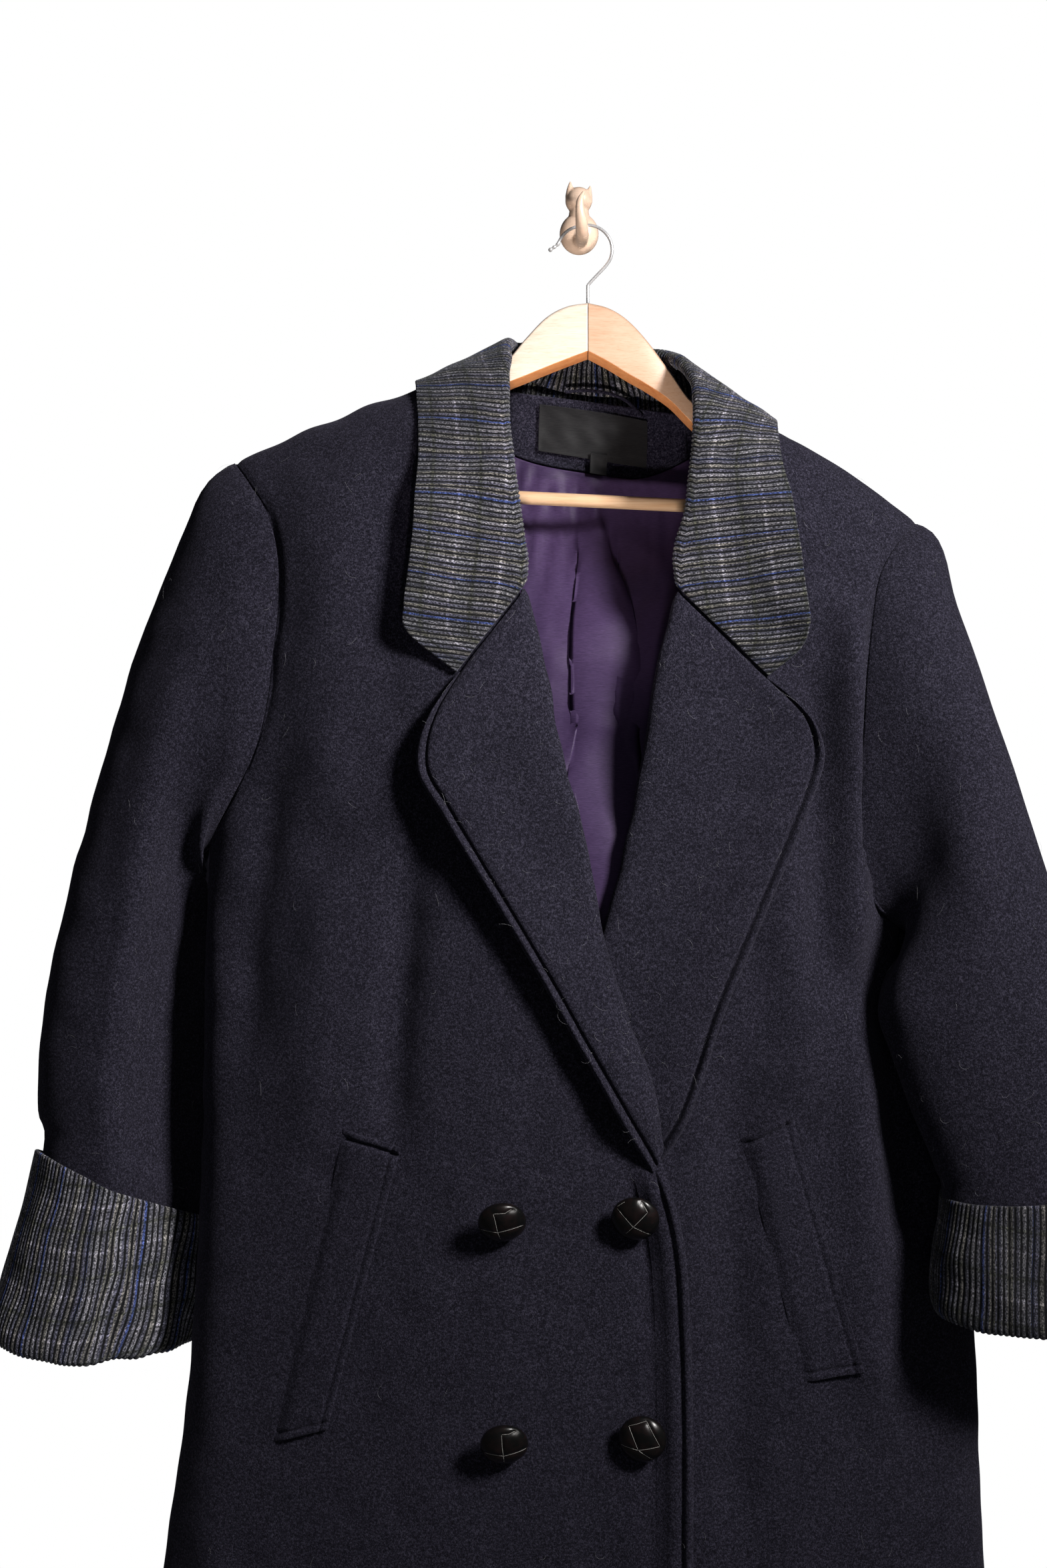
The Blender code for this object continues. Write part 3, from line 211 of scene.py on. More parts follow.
# Armhole loops, shared by the panels and the sleeves
def arm_loop(side):
    """Points, outward normals and sleeve-ward directions: shoulder, front, underarm, back."""
    rows = arm_table(side)
    turn = np.linspace(0, np.pi, ARM_ROWS + 1)
    top = -rows[0, 0]
    low = -rows[-1, 0]
    z = top + (low - top) * (1 - np.cos(turn)) / 2
    x_front = table(rows, 1, -z)
    share = (top - z) / (top - low)
    straight = rows[0, 1] + (rows[-1, 1] - rows[0, 1]) * share
    x_back = straight + (x_front - straight) * 0.75
    front = np.stack([x_front, front_y(x_front, z, side), z], -1)
    back = np.stack([x_back, back_y(x_back, z), z], -1)
    n_front = facing(front_y, x_front, z, side, 1)
    n_back = facing(back_y, x_back, z, side, -1)
    slope = (ridge(x_front[0] + 1e-3) - ridge(x_front[0] - 1e-3)) / 2e-3
    n_front[0] = unit(np.array([-slope, 0, 1]))
    n_front[-1] = (side, 0, 0)
    loop = np.concatenate([front, back[-2:0:-1]])
    normal = np.concatenate([n_front, n_back[-2:0:-1]])
    loop[0, 1] = MID_Y
    loop[ARM_ROWS, 1] = MID_Y
    run = unit(np.roll(loop, -1, 0) - np.roll(loop, 1, 0))
    out = unit(np.cross(run, normal))
    out *= np.sign((out * np.array([side, 0, 0])).sum(-1).sum())
    return loop, normal, out


# Panels
def row_levels(side):
    """z of each row at the outer edge, from the shoulder point to the hem."""
    rows = arm_table(side)
    turn = np.linspace(0, np.pi, ARM_ROWS + 1)
    top = -rows[0, 0]
    low = -rows[-1, 0]
    upper = top + (low - top) * (1 - np.cos(turn)) / 2
    down = low + (HEM - low) * np.linspace(0, 1, SKIRT_ROWS + 1)[1:] ** 1.25
    return np.concatenate([upper, down])


def follow(levels):
    """How much a row keeps the slope of the shoulder."""
    return np.clip(1 - (levels[0] - levels) / 0.42, 0, 1)


def front_grid(side, edge, cols):
    levels = row_levels(side)
    keep = follow(levels)
    loop, _, out = arm_loop(side)
    grid = np.zeros((len(levels), cols, 3))
    for k, level in enumerate(levels):
        outer = loop[k, 0] if k <= ARM_ROWS else float(side_x(side, level))
        inner = float(table(edge, 1, -level))
        for _ in range(12):
            z_in = level + keep[k] * (ridge(inner) - ridge(outer))
            inner = 0.5 * inner + 0.5 * float(table(edge, 1, -z_in))
        if k == 0:
            inner = edge[0, 1]
        wide = float(side_x(side, level)) - MID_X
        a = np.array([inner - MID_X, outer - MID_X]) / wide
        angle = np.arcsin(np.clip(np.sign(a) * np.abs(a) ** (FRONT_PLAN / 2), -1, 1))
        turn = np.linspace(angle[0], angle[1], cols)
        x = MID_X + wide * np.sign(turn) * np.abs(np.sin(turn)) ** (2 / FRONT_PLAN)
        x[0] = inner
        x[-1] = outer
        z = level + keep[k] * (ridge(x) - ridge(outer))
        grid[k] = np.stack([x, front_y(x, z, side), z], -1)
        if k > ARM_ROWS:
            grid[k, -1] = (outer, MID_Y - HALF_SEAM, level)
    grid[0, :, 1] = MID_Y - HALF_SEAM
    half = slice(0, ARM_ROWS + 1)
    grid[half, -1] = loop[half] - out[half] * HALF_SEAM
    grid[0, -1, 1] = MID_Y - HALF_SEAM
    grid[ARM_ROWS, -1, 1] = MID_Y - HALF_SEAM
    return grid


NECK_X = 0.012
NECK_HALF = 0.080
NECK_BACK = 0.0455
NECK_ROUND = 3.2
NECK_COLS = NECK_X + NECK_HALF * np.array([-1, -0.96, -0.84, -0.58, -0.2, 0.2, 0.58, 0.84, 0.96, 1])


def back_top(x):
    """Top edge of the back: the shoulder line, and between the neck points the neck curve."""
    z = ridge(x)
    a = np.clip(np.abs(x - NECK_X) / NECK_HALF, 0, 1)
    reach = NECK_BACK * (1 - a**NECK_ROUND) ** (1 / NECK_ROUND)
    q = plan(x, z, BACK_PLAN)
    g = np.clip(reach / (BACK_DEEP * np.maximum(q, 0.05)), 0, 0.985)
    t = (1 - g**SHOULDER) ** (1 / SHOULDER)
    return z - BACK_DROP * (1 - t)


def back_grid(cols):
    both = {side: row_levels(side) for side in (-1, 1)}
    loops = {side: arm_loop(side) for side in (-1, 1)}
    keep = follow((both[-1] + both[1]) / 2)
    grid = np.zeros((len(keep), 2 * cols + len(NECK_COLS), 3))
    count = len(loops[1][0])
    for k in range(len(keep)):
        ends = []
        for side in (-1, 1):
            if k <= ARM_ROWS:
                ends.append(loops[side][0][-k % count, 0])
            else:
                ends.append(float(side_x(side, both[side][k])))
        lines = []
        for side, end in zip((-1, 1), ends):
            wide = float(side_x(side, both[side][k])) - MID_X
            first = NECK_COLS[0 if side < 0 else -1]
            a = np.clip((np.array([first, end]) - MID_X) / wide, 0, 1)
            turn = np.linspace(*np.arcsin(a ** (BACK_PLAN / 2)), cols + 1)
            line = MID_X + wide * np.sin(turn) ** (2 / BACK_PLAN)
            line[0] = first
            line[-1] = end
            lines.append(line)
        x = np.concatenate([lines[0][:0:-1], NECK_COLS, lines[1][1:]])
        share = (x - ends[0]) / (ends[1] - ends[0])
        base = both[-1][k] + (both[1][k] - both[-1][k]) * share
        share_top = (x - loops[-1][0][0, 0]) / (loops[1][0][0, 0] - loops[-1][0][0, 0])
        chord = both[-1][0] + (both[1][0] - both[-1][0]) * np.clip(share_top, 0, 1)
        rise = back_top(x) - chord
        rise[[0, -1]] = 0
        z = base + keep[k] * rise
        grid[k] = np.stack([x, back_y(x, z), z], -1)
        if k > ARM_ROWS:
            for c, side, end in ((0, -1, ends[0]), (-1, 1, ends[1])):
                grid[k, c] = (end, MID_Y + HALF_SEAM, both[side][k])
    x = grid[0, :, 0]
    off = np.abs(x - NECK_X) > NECK_HALF - 1e-6
    grid[0, off, 1] = MID_Y + HALF_SEAM
    for c, side in ((0, -1), (-1, 1)):
        loop, _, out = loops[side]
        for k in range(ARM_ROWS + 1):
            i = -k % count
            grid[k, c] = loop[i] - out[i] * HALF_SEAM
        grid[0, c, 1] = MID_Y + HALF_SEAM
        grid[ARM_ROWS, c, 1] = MID_Y + HALF_SEAM
    return grid


# Sleeves: how the tube's long oval lies at each station, from the armhole to the wrist.
# outer x, outer z, inner x, inner z, y of the middle, half depth, rise of the front.
# The wearer's right sleeve hangs just behind the coat's widest line, and the left one in front of it
SLEEVE_RIGHT = np.array([
    (-0.2400, -0.1843, -0.2585, -0.4540, -0.058, 0.044, 0.000),
    (-0.2630, -0.2090, -0.2607, -0.4610, -0.059, 0.046, 0.000),
    (-0.2842, -0.2560, -0.2612, -0.4710, -0.057, 0.046, 0.000),
    (-0.3055, -0.3077, -0.2610, -0.4850, -0.054, 0.045, 0.000),
    (-0.3244, -0.3668, -0.2608, -0.5030, -0.052, 0.045, 0.000),
    (-0.3456, -0.4416, -0.2608, -0.5290, -0.051, 0.044, 0.000),
    (-0.3610, -0.5000, -0.2608, -0.5620, -0.050, 0.043, 0.000),
    (-0.3715, -0.5500, -0.2610, -0.5990, -0.050, 0.042, 0.002),
    (-0.3765, -0.5980, -0.2622, -0.6380, -0.050, 0.041, 0.004),
    (-0.3765, -0.6340, -0.2652, -0.6800, -0.051, 0.040, 0.006),
    (-0.3740, -0.6650, -0.2692, -0.7180, -0.052, 0.040, 0.008),
    (-0.3905, -0.7250, -0.2735, -0.7600, -0.053, 0.041, 0.000),
    (-0.4075, -0.7810, -0.2830, -0.7950, -0.053, 0.042, -0.007),
])
SLEEVE_LEFT = np.array([
    (0.2330, -0.2259, 0.2220, -0.5090, -0.058, 0.044, 0.000),
    (0.2467, -0.2468, 0.2247, -0.5140, -0.066, 0.047, 0.000),
    (0.2590, -0.2900, 0.2238, -0.5190, -0.075, 0.048, 0.000),
    (0.2716, -0.3336, 0.2190, -0.5300, -0.086, 0.048, 0.000),
    (0.2870, -0.3870, 0.2170, -0.5460, -0.097, 0.047, 0.000),
    (0.3044, -0.4421, 0.2200, -0.5640, -0.105, 0.045, 0.000),
    (0.3190, -0.4920, 0.2275, -0.5860, -0.111, 0.043, 0.000),
    (0.3340, -0.5480, 0.2350, -0.6130, -0.115, 0.042, 0.000),
    (0.3440, -0.5980, 0.2405, -0.6420, -0.118, 0.041, 0.000),
    (0.3480, -0.6350, 0.2430, -0.6640, -0.121, 0.041, -0.002),
    (0.3480, -0.6730, 0.2430, -0.6810, -0.123, 0.041, -0.004),
    (0.3540, -0.7150, 0.2370, -0.7180, -0.125, 0.042, -0.005),
    (0.3600, -0.7560, 0.2345, -0.7500, -0.125, 0.043, -0.008),
])
STATIONS = np.array([0, 0.3, 0.7, 1.2, 1.8, 2.5, 3.2, 4, 5, 6, 7, 8, 9, 10, 12])
CUFF_FROM = 9.95
CUFF_OFF = 0.0046
ROPE = 0.0030
SLEEVE_LIE = {-1: 0.0019, 1: 0.0028}
UNDERARM = 0.0030


def oval(side, t, turn, grow=0.0):
    """The sleeve's oval at station t; grow makes it wider and deeper all round."""
    rows = SLEEVE_RIGHT if side < 0 else SLEEVE_LEFT
    keys = np.column_stack([np.arange(len(rows)), rows])
    ox, oz, ix, iz, y, deep, rise = (table(keys, c, t) for c in range(1, 8))
    half = np.array([ox - ix, 0, oz - iz]) / 2
    middle = np.array([(ox + ix) / 2, y, (oz + iz) / 2])
    half = half * (1 + grow / np.linalg.norm(half))
    front = np.array([0, -(deep + grow), rise])
    return middle + np.cos(turn)[:, None] * half + np.sin(turn)[:, None] * front


def sleeve_turns():
    half = np.linspace(0, np.pi, ARM_ROWS + 1)
    return np.concatenate([half, half[1:-1] + np.pi])


def beside(p, least):
    """Moves points level with the side panels out to a least distance from the torso."""
    def level(q):
        x, y, z = q[..., 0], q[..., 1], q[..., 2]
        wide = np.where(x < MID_X, MID_X - side_x(-1, z), side_x(1, z) - MID_X)
        ahead = y < MID_Y
        power = np.where(ahead, FRONT_PLAN, BACK_PLAN)
        deep = np.where(ahead, FRONT_DEEP, BACK_DEEP)
        a = np.abs(x - MID_X) / wide
        b = np.abs(y - MID_Y) / deep
        return (a**power + b**power) ** (1 / power) - 1
    e = 5e-5
    for _ in range(5):
        slope = np.stack([(level(p + s) - level(p - s)) / (2 * e) for s in np.eye(3)[:2] * e], -1)
        size = np.linalg.norm(slope, axis=-1, keepdims=True)
        need = np.maximum(least - level(p)[..., None] / size, 0)
        p = p + np.concatenate([slope / size * need, 0 * need], -1)
    return p


def sleeve_grid(side):
    loop, normal, out = arm_loop(side)
    turn = sleeve_turns()
    fix = loop - oval(side, 0, turn)
    grid = []
    for t in STATIONS:
        ring = oval(side, t, turn) + fix * max(1 - t / 3.5, 0) ** 2
        rope = ROPE * np.sin(np.pi * min(t / 1.6, 1)) * np.clip(np.cos(turn), 0, 1)
        ring = ring + normal * rope[:, None]
        if 0 < t < 1:
            ring[:, 0] += side * UNDERARM * ease((-np.cos(turn) - 0.4) / 0.5)
        low = ring[:, 2:] < loop[ARM_ROWS, 2] + (0.016 if t > 0.5 else 0.002)
        grid.append(np.where(low, beside(ring, SLEEVE_LIE[side]), ring))
    grid = np.array(grid)
    low = ease((-np.cos(turn) - 0.5) / 0.4)
    grid[0] = loop + out * (HALF_SEAM + 0.0005 * low[:, None])
    return grid


def cuff_grid(side):
    """The turned-back cuff: up inside the sleeve, round its end and back up outside it."""
    turn = sleeve_turns()
    reach = CUFF_OFF + 0.0012
    rings = [
        oval(side, 11.45, turn, -2 * reach + 0.0034),
        oval(side, 12.0, turn, -2 * reach + 0.0034),
    ]
    low = oval(side, 12.0, turn)
    axis = unit(low.mean(0) - oval(side, 11.0, turn).mean(0))
    for grow, drop in ((-0.0048, 0.0042), (-0.0010, 0.0062), (0.0030, 0.0045)):
        rings.append(oval(side, 12.0, turn, grow) + axis * drop)
    for t in (11.9, 11.5, 11.0, 10.5, CUFF_FROM):
        rings.append(oval(side, t, turn, CUFF_OFF))
    return np.array(rings)


FOLD = 0.0047
FOLD_MID = -0.0012
LEG = 0.009
PUFF = 0.0016
BEND = np.radians([-90, -45, 0, 45, 90])


def lapel_grid(side, rows):
    across = np.array([0.04, 0.12, 0.25, 0.45, 0.70, 0.9, 1.0])
    grid = []
    for x0, z0, x1, z1 in rows:
        wide = np.hypot(x1 - x0, z1 - z0)
        way = np.array([x1 - x0, z1 - z0]) / wide
        lie = LIE + WOOL
        far = np.concatenate([[FOLD + LEG], FOLD * (1 - np.cos(BEND)), FOLD + (wide - FOLD) * across])
        leaf = lie + (FOLD_MID + FOLD - lie) * (1 - across) ** 2 + PUFF * np.sin(np.pi * across**0.6)
        high = np.concatenate([[FOLD_MID - FOLD], FOLD_MID + FOLD * np.sin(BEND), leaf])
        x = x0 + way[0] * far
        z = z0 + way[1] * far
        grid.append(np.stack([x, front_y(x, z, side) - high, z], -1))
    return np.array(grid)


# Collar, from the wearer's right gorge round the back of the neck to the left one.
# fold line x, y, z; outer edge x, y, z; size of the fold; length of the inner leg. y = 0 is "on the front"
COLLAR = np.array([
    (-0.0378, 0.000, -0.2730, -0.0850, 0.000, -0.3328, 0.0052, 0.0090),
    (-0.0372, 0.000, -0.2640, -0.1150, 0.000, -0.3075, 0.0052, 0.0090),
    (-0.0366, 0.000, -0.2545, -0.1172, 0.000, -0.2900, 0.0052, 0.0090),
    (-0.0410, 0.000, -0.2300, -0.1140, 0.000, -0.2600, 0.0052, 0.0085),
    (-0.0441, 0.000, -0.2083, -0.1112, 0.000, -0.2350, 0.0052, 0.0080),
    (-0.0480, 0.000, -0.1750, -0.1098, 0.000, -0.2000, 0.0052, 0.0070),
    (-0.0492, -0.113, -0.1460, -0.1100, -0.107, -0.1690, 0.0046, 0.0050),
    (-0.0490, -0.090, -0.1190, -0.1105, -0.082, -0.1450, 0.0043, 0.0030),
    (-0.0480, -0.058, -0.1010, -0.1115, -0.052, -0.1335, 0.0040, 0.0012),
    (-0.0420, -0.034, -0.0975, -0.0960, -0.018, -0.1420, 0.0045, 0.0060),
    (-0.0220, -0.0195, -0.0950, -0.0560, -0.007, -0.1600, 0.0052, 0.0240),
    (0.0120, -0.0145, -0.0950, 0.0120, -0.006, -0.1680, 0.0054, 0.0310),
    (0.0440, -0.0195, -0.0985, 0.0820, -0.007, -0.1680, 0.0052, 0.0280),
    (0.0600, -0.034, -0.1050, 0.1180, -0.018, -0.1600, 0.0046, 0.0090),
    (0.0660, -0.058, -0.1130, 0.1309, -0.052, -0.1590, 0.0044, 0.0030),
    (0.0735, -0.090, -0.1330, 0.1312, -0.082, -0.1680, 0.0044, 0.0040),
    (0.0735, -0.113, -0.1600, 0.1325, -0.107, -0.1900, 0.0046, 0.0060),
    (0.0720, 0.000, -0.1850, 0.1345, 0.000, -0.2150, 0.0052, 0.0070),
    (0.0680, 0.000, -0.2150, 0.1395, 0.000, -0.2440, 0.0052, 0.0080),
    (0.0620, 0.000, -0.2450, 0.1450, 0.000, -0.2780, 0.0052, 0.0085),
    (0.0597, 0.000, -0.2590, 0.1475, 0.000, -0.3020, 0.0052, 0.0090),
    (0.0602, 0.000, -0.2665, 0.1435, 0.000, -0.3170, 0.0052, 0.0090),
    (0.0606, 0.000, -0.2745, 0.1236, 0.000, -0.3350, 0.0052, 0.0090),
])


BACK_ROW = 11
COLLAR_LIE = 0.0016
COLLAR_MID = 0.0018


def height(p, side):
    """Roughly how far a point is outside the torso, and the way straight out."""
    def level(q):
        x, y, z = q[..., 0], q[..., 1], q[..., 2]
        ahead = y < MID_Y
        shift = np.where(ahead & (side < 0), lap(x, z), 0)
        deep = np.where(ahead, FRONT_DEEP, BACK_DEEP)
        drop = np.where(ahead, FRONT_DROP, BACK_DROP)
        wide = np.where(ahead, plan(x, z, FRONT_PLAN), plan(x, z, BACK_PLAN))
        b = np.maximum(np.abs(y - MID_Y) - shift, 0) / (deep * np.maximum(wide, 0.05))
        t = np.maximum(1 - (ridge(x) - z) / drop, 0)
        return (b**SHOULDER + t**SHOULDER) ** (1 / SHOULDER) - 1
    e = 5e-5
    slope = np.stack([(level(p + step) - level(p - step)) / (2 * e) for step in np.eye(3) * e], -1)
    size = np.maximum(np.linalg.norm(slope, axis=-1, keepdims=True), 1e-9)
    return level(p) / size[..., 0], slope / size


def raise_to(p, side, least, exact=False):
    for _ in range(6):
        far, way = height(p, side)
        need = least - far
        if not exact:
            need = np.maximum(need, 0)
        p = p + way * need[..., None]
    return p


def collar_grid():
    keys = np.column_stack([np.arange(len(COLLAR)), COLLAR])
    for row in keys:
        side = -1 if row[0] < BACK_ROW else 1
        for at, off in ((2, COLLAR_MID), (5, -(COLLAR_LIE + CORD))):
            if row[at] == 0:
                row[at] = front_y(row[at - 1], row[at + 1], side) + off
    last = len(COLLAR) - 1
    steps = np.concatenate([[0, 1], np.arange(2, last - 1.9, 1 / 2), [last - 1, last]])
    rows = np.array([[table(keys, c, t) for c in range(1, 9)] for t in steps])
    sides = np.where(steps < BACK_ROW, -1, 1)
    fold = rows[:, 0:3]
    edge = raise_to(rows[:, 3:6], sides, COLLAR_LIE + CORD, True)
    run = unit(np.gradient(fold, axis=0))
    across = np.array([0.12, 0.28, 0.46, 0.64, 0.82, 1.0])
    grid = []
    for i in range(len(rows)):
        way = unit(edge[i] - fold[i])
        up = unit(np.cross(run[i], way))
        size, leg = rows[i, 6:8]
        line = [fold[i] + way * (size + leg) - up * size]
        for bend in BEND:
            line.append(fold[i] + way * size * (1 - np.cos(bend)) + up * size * np.sin(bend))
        start = line[-1]
        leaf = start + (edge[i] - start) * across[:, None]
        puff = PUFF * np.sin(np.pi * across**0.6)
        leaf = raise_to(leaf, sides[i], COLLAR_LIE + CORD + puff)
        grid.append(np.concatenate([line, leaf]))
    return np.array(grid), across, steps


# Pocket welts: x, z of the corners, top inner, top outer, low outer, low inner
WELT_RIGHT = ((-0.1219, -0.6486), (-0.1610, -0.6370), (-0.2087, -0.8493), (-0.1713, -0.8382))
WELT_LEFT = ((0.1055, -0.6440), (0.1390, -0.6270), (0.1868, -0.8000), (0.1475, -0.8070))


def patch(corners, cols, rows):
    """x and z of a grid over a four-cornered patch: top near, top far, low far, low near."""
    a, b, c, d = (np.array(p) for p in corners)
    u = np.linspace(0, 1, cols)[None, :, None]
    v = np.linspace(0, 1, rows)[:, None, None]
    flat = (a * (1 - u) + b * u) * (1 - v) + (d * (1 - u) + c * u) * v
    return flat[..., 0], flat[..., 1]


def welt_grid(side, corners):
    x, z = patch(corners, 4, 9)
    return np.stack([x, front_y(x, z, side) - WOOL - LIE, z], -1)


# Inside the back of the neck
FACING_LOW = np.array([
    (-0.060, -0.1680), (-0.0500, -0.1727), (-0.0258, -0.1808), (-0.0073, -0.1840), (0.0193, -0.1880),
    (0.0397, -0.1900), (0.0624, -0.1836), (0.0757, -0.1765), (0.090, -0.1700),
])
INSIDE = WOOL + 0.0022


def neck_seam(x):
    return -0.1345 - 0.13 * (x - NECK_X)


def behind(x, z, deep):
    """Points that lie inside the back, this far in front of its inner face."""
    out = facing(back_y, x, z, 1, -1)
    return np.stack([x, back_y(x, z), z], -1) - out * np.reshape(WOOL + deep, np.shape(WOOL + deep) + (1,))


def inside_grid(low_x, high_x, cols, rows, top, low, off, wave=None):
    """A piece lying inside the back: off is how far its face is in front of the back's inner face."""
    x = np.linspace(low_x, high_x, cols)
    v = np.linspace(0, 1, rows)[:, None]
    z = top(x) + (low(x) - top(x)) * v
    x = x + 0 * z
    return behind(x, z, off + (0 * x if wave is None else wave(x, z)))


def pleat(x, z):
    """The lining's centre pleat and its slow side waves."""
    middle = 0.012 + 0.02 * (-0.2 - z)
    fall = ease((-0.17 - z) / 0.12)
    ridge_line = 0.0050 * np.exp(-(((x - middle) / 0.0075) ** 2))
    waves = 0.0022 * np.sin((x - middle) * 95 + 6 * z) + 0.0015 * np.sin(x * 40 - z * 14)
    return SATIN + 0.0030 + 0.0015 * fall + (ridge_line + waves) * (0.15 + 0.85 * fall)


# Finer drawing of the grids
def cubic(t):
    """Weights of the four points round t, for a smooth curve through them."""
    return (
        -0.5 * t + t**2 - 0.5 * t**3,
        1 - 2.5 * t**2 + 1.5 * t**3,
        0.5 * t + 2 * t**2 - 1.5 * t**3,
        -0.5 * t**2 + 0.5 * t**3,
    )


def padded(grid, axis, wrap):
    """The grid with one more line at each end of an axis."""
    size = grid.shape[axis]
    if wrap:
        return np.take(grid, np.arange(-1, size + 2) % size, axis)
    first = 2 * np.take(grid, [0], axis) - np.take(grid, [1], axis)
    last = 2 * np.take(grid, [-1], axis) - np.take(grid, [-2], axis)
    return np.concatenate([first, grid, last], axis)


def surface(grid, r, c, wrap=False):
    """Points of the smooth surface through a grid, at fractional rows r and columns c."""
    rows, cols = grid.shape[:2]
    net = padded(padded(grid, 0, False), 1, wrap)
    r, c = np.broadcast_arrays(np.asarray(r, float), np.asarray(c, float))
    i = np.clip(np.floor(r).astype(int), 0, rows - 2)
    j = np.clip(np.floor(c).astype(int), 0, cols - 1 if wrap else cols - 2)
    down = cubic(r - i)
    over = cubic(c - j)
    found = 0
    for a in range(4):
        for b in range(4):
            found = found + (down[a] * over[b])[..., None] * net[i + a, j + b]
    return found


def lengths(points, axis):
    """Distance along an axis of a grid, from its first line."""
    steps = np.linalg.norm(np.diff(points, axis=axis), axis=-1)
    zero = np.zeros_like(np.take(steps, [0], axis))
    return np.cumsum(np.concatenate([zero, steps], axis), axis)


FREE = np.array([0, 0.25, 0.7, 1.4, 2.4, 3.6, 4.8, 5.6, 6.3, 7.0, 8.0, 10.0]) / 1000
SEWN = np.array([0, 1.0, 2.5, 5.0, 8.0]) / 1000
BARE = np.array([0.0])


def stops(total, first, last, step):
    """Distances from an edge: close together near both edges, and a step apart between them."""
    count = max(int(round((total - first[-1] - last[-1]) / step)), 2)
    middle = np.linspace(first[-1], total - last[-1], count + 1)[1:-1]
    return np.concatenate([first, middle, total - last[::-1]])


def finer(grid, edges, step, wrap=False):
    """A finer grid: edges holds the stops near its first row, last row, first column and last column."""
    rows, cols = grid.shape[:2]
    r_try = np.linspace(0, rows - 1, (rows - 1) * 6 + 1)
    c_all = np.arange(cols)
    down = lengths(surface(grid, r_try[:, None], c_all[None], wrap), 0).mean(1)
    r = np.interp(stops(down[-1], edges[0], edges[1], step), down, r_try)
    if wrap:
        around = lengths(surface(grid, r[:, None], np.arange(cols + 1)[None], True), 1)[:, -1]
        count = int(round(around.mean() / step))
        c = np.linspace(0, cols, count, endpoint=False)
        return surface(grid, r[:, None], c[None], True), r, np.broadcast_to(c, (len(r), count))
    c_try = np.linspace(0, cols - 1, (cols - 1) * 6 + 1)
    over = lengths(surface(grid, r[:, None], c_try[None]), 1)
    widest = np.median(over[:, -1])
    share = stops(widest, edges[2], edges[3], step)
    c = np.empty((len(r), len(share)))
    near = len(edges[2])
    far = len(share) - len(edges[3])
    for k, line in enumerate(over):
        at = share.copy()
        room = line[-1] - edges[2][-1] - edges[3][-1]
        between = share[near:far] - edges[2][-1]
        at[near:far] = edges[2][-1] + between * room / (widest - edges[2][-1] - edges[3][-1])
        at[far:] = line[-1] - edges[3][::-1]
        c[k] = np.interp(at, line, c_try)
    return surface(grid, r[:, None], c), r, c


def normals_of(grid, wrap=False):
    down = np.gradient(grid, axis=0)
    if wrap:
        across = np.roll(grid, -1, 1) - np.roll(grid, 1, 1)
    else:
        across = np.gradient(grid, axis=1)
    return unit(np.cross(across, down))


def outward(normals, away):
    """Turns the normals so that, on the whole, they point along a direction or a field of them."""
    return normals * np.sign((normals * np.asarray(away)).sum())


def waves(p, size, seed, count=14):
    """Smooth noise from -1 to 1, with features of about this size."""
    turn = np.random.default_rng(seed)
    ways = unit(turn.normal(size=(count, 3)))
    phase = turn.uniform(0, 2 * np.pi, count)
    pitch = turn.uniform(0.7, 1.4, count)
    total = 0
    for way, start, k in zip(ways, phase, pitch):
        total = total + np.sin((p @ way) * (2 * np.pi / size) * k + start)
    return total / np.sqrt(count)


def round_off(d, radius):
    """How far a face drops near a cut edge, at distance d from it."""
    left = np.clip(radius - d, 0, radius)
    return radius - np.sqrt(np.maximum(radius**2 - left**2, 0))


def groove(d, at, width, deep):
    return -deep * np.exp(-(((d - at) / width) ** 2))


def mesh_of(name, points, faces, uv=None, smooth=True):
    mesh = bpy.data.meshes.new(name)
    mesh.from_pydata(points.tolist(), [], faces.tolist() if isinstance(faces, np.ndarray) else faces)
    if uv is not None:
        layer = mesh.uv_layers.new(name="cloth")
        index = np.empty(len(mesh.loops), np.int32)
        mesh.loops.foreach_get("vertex_index", index)
        layer.data.foreach_set("uv", np.ascontiguousarray(uv[index], np.float32).ravel())
    if smooth:
        mesh.polygons.foreach_set("use_smooth", np.ones(len(mesh.polygons), bool))
    mesh.update()
    item = bpy.data.objects.new(name, mesh)
    bpy.context.scene.collection.objects.link(item)
    return item


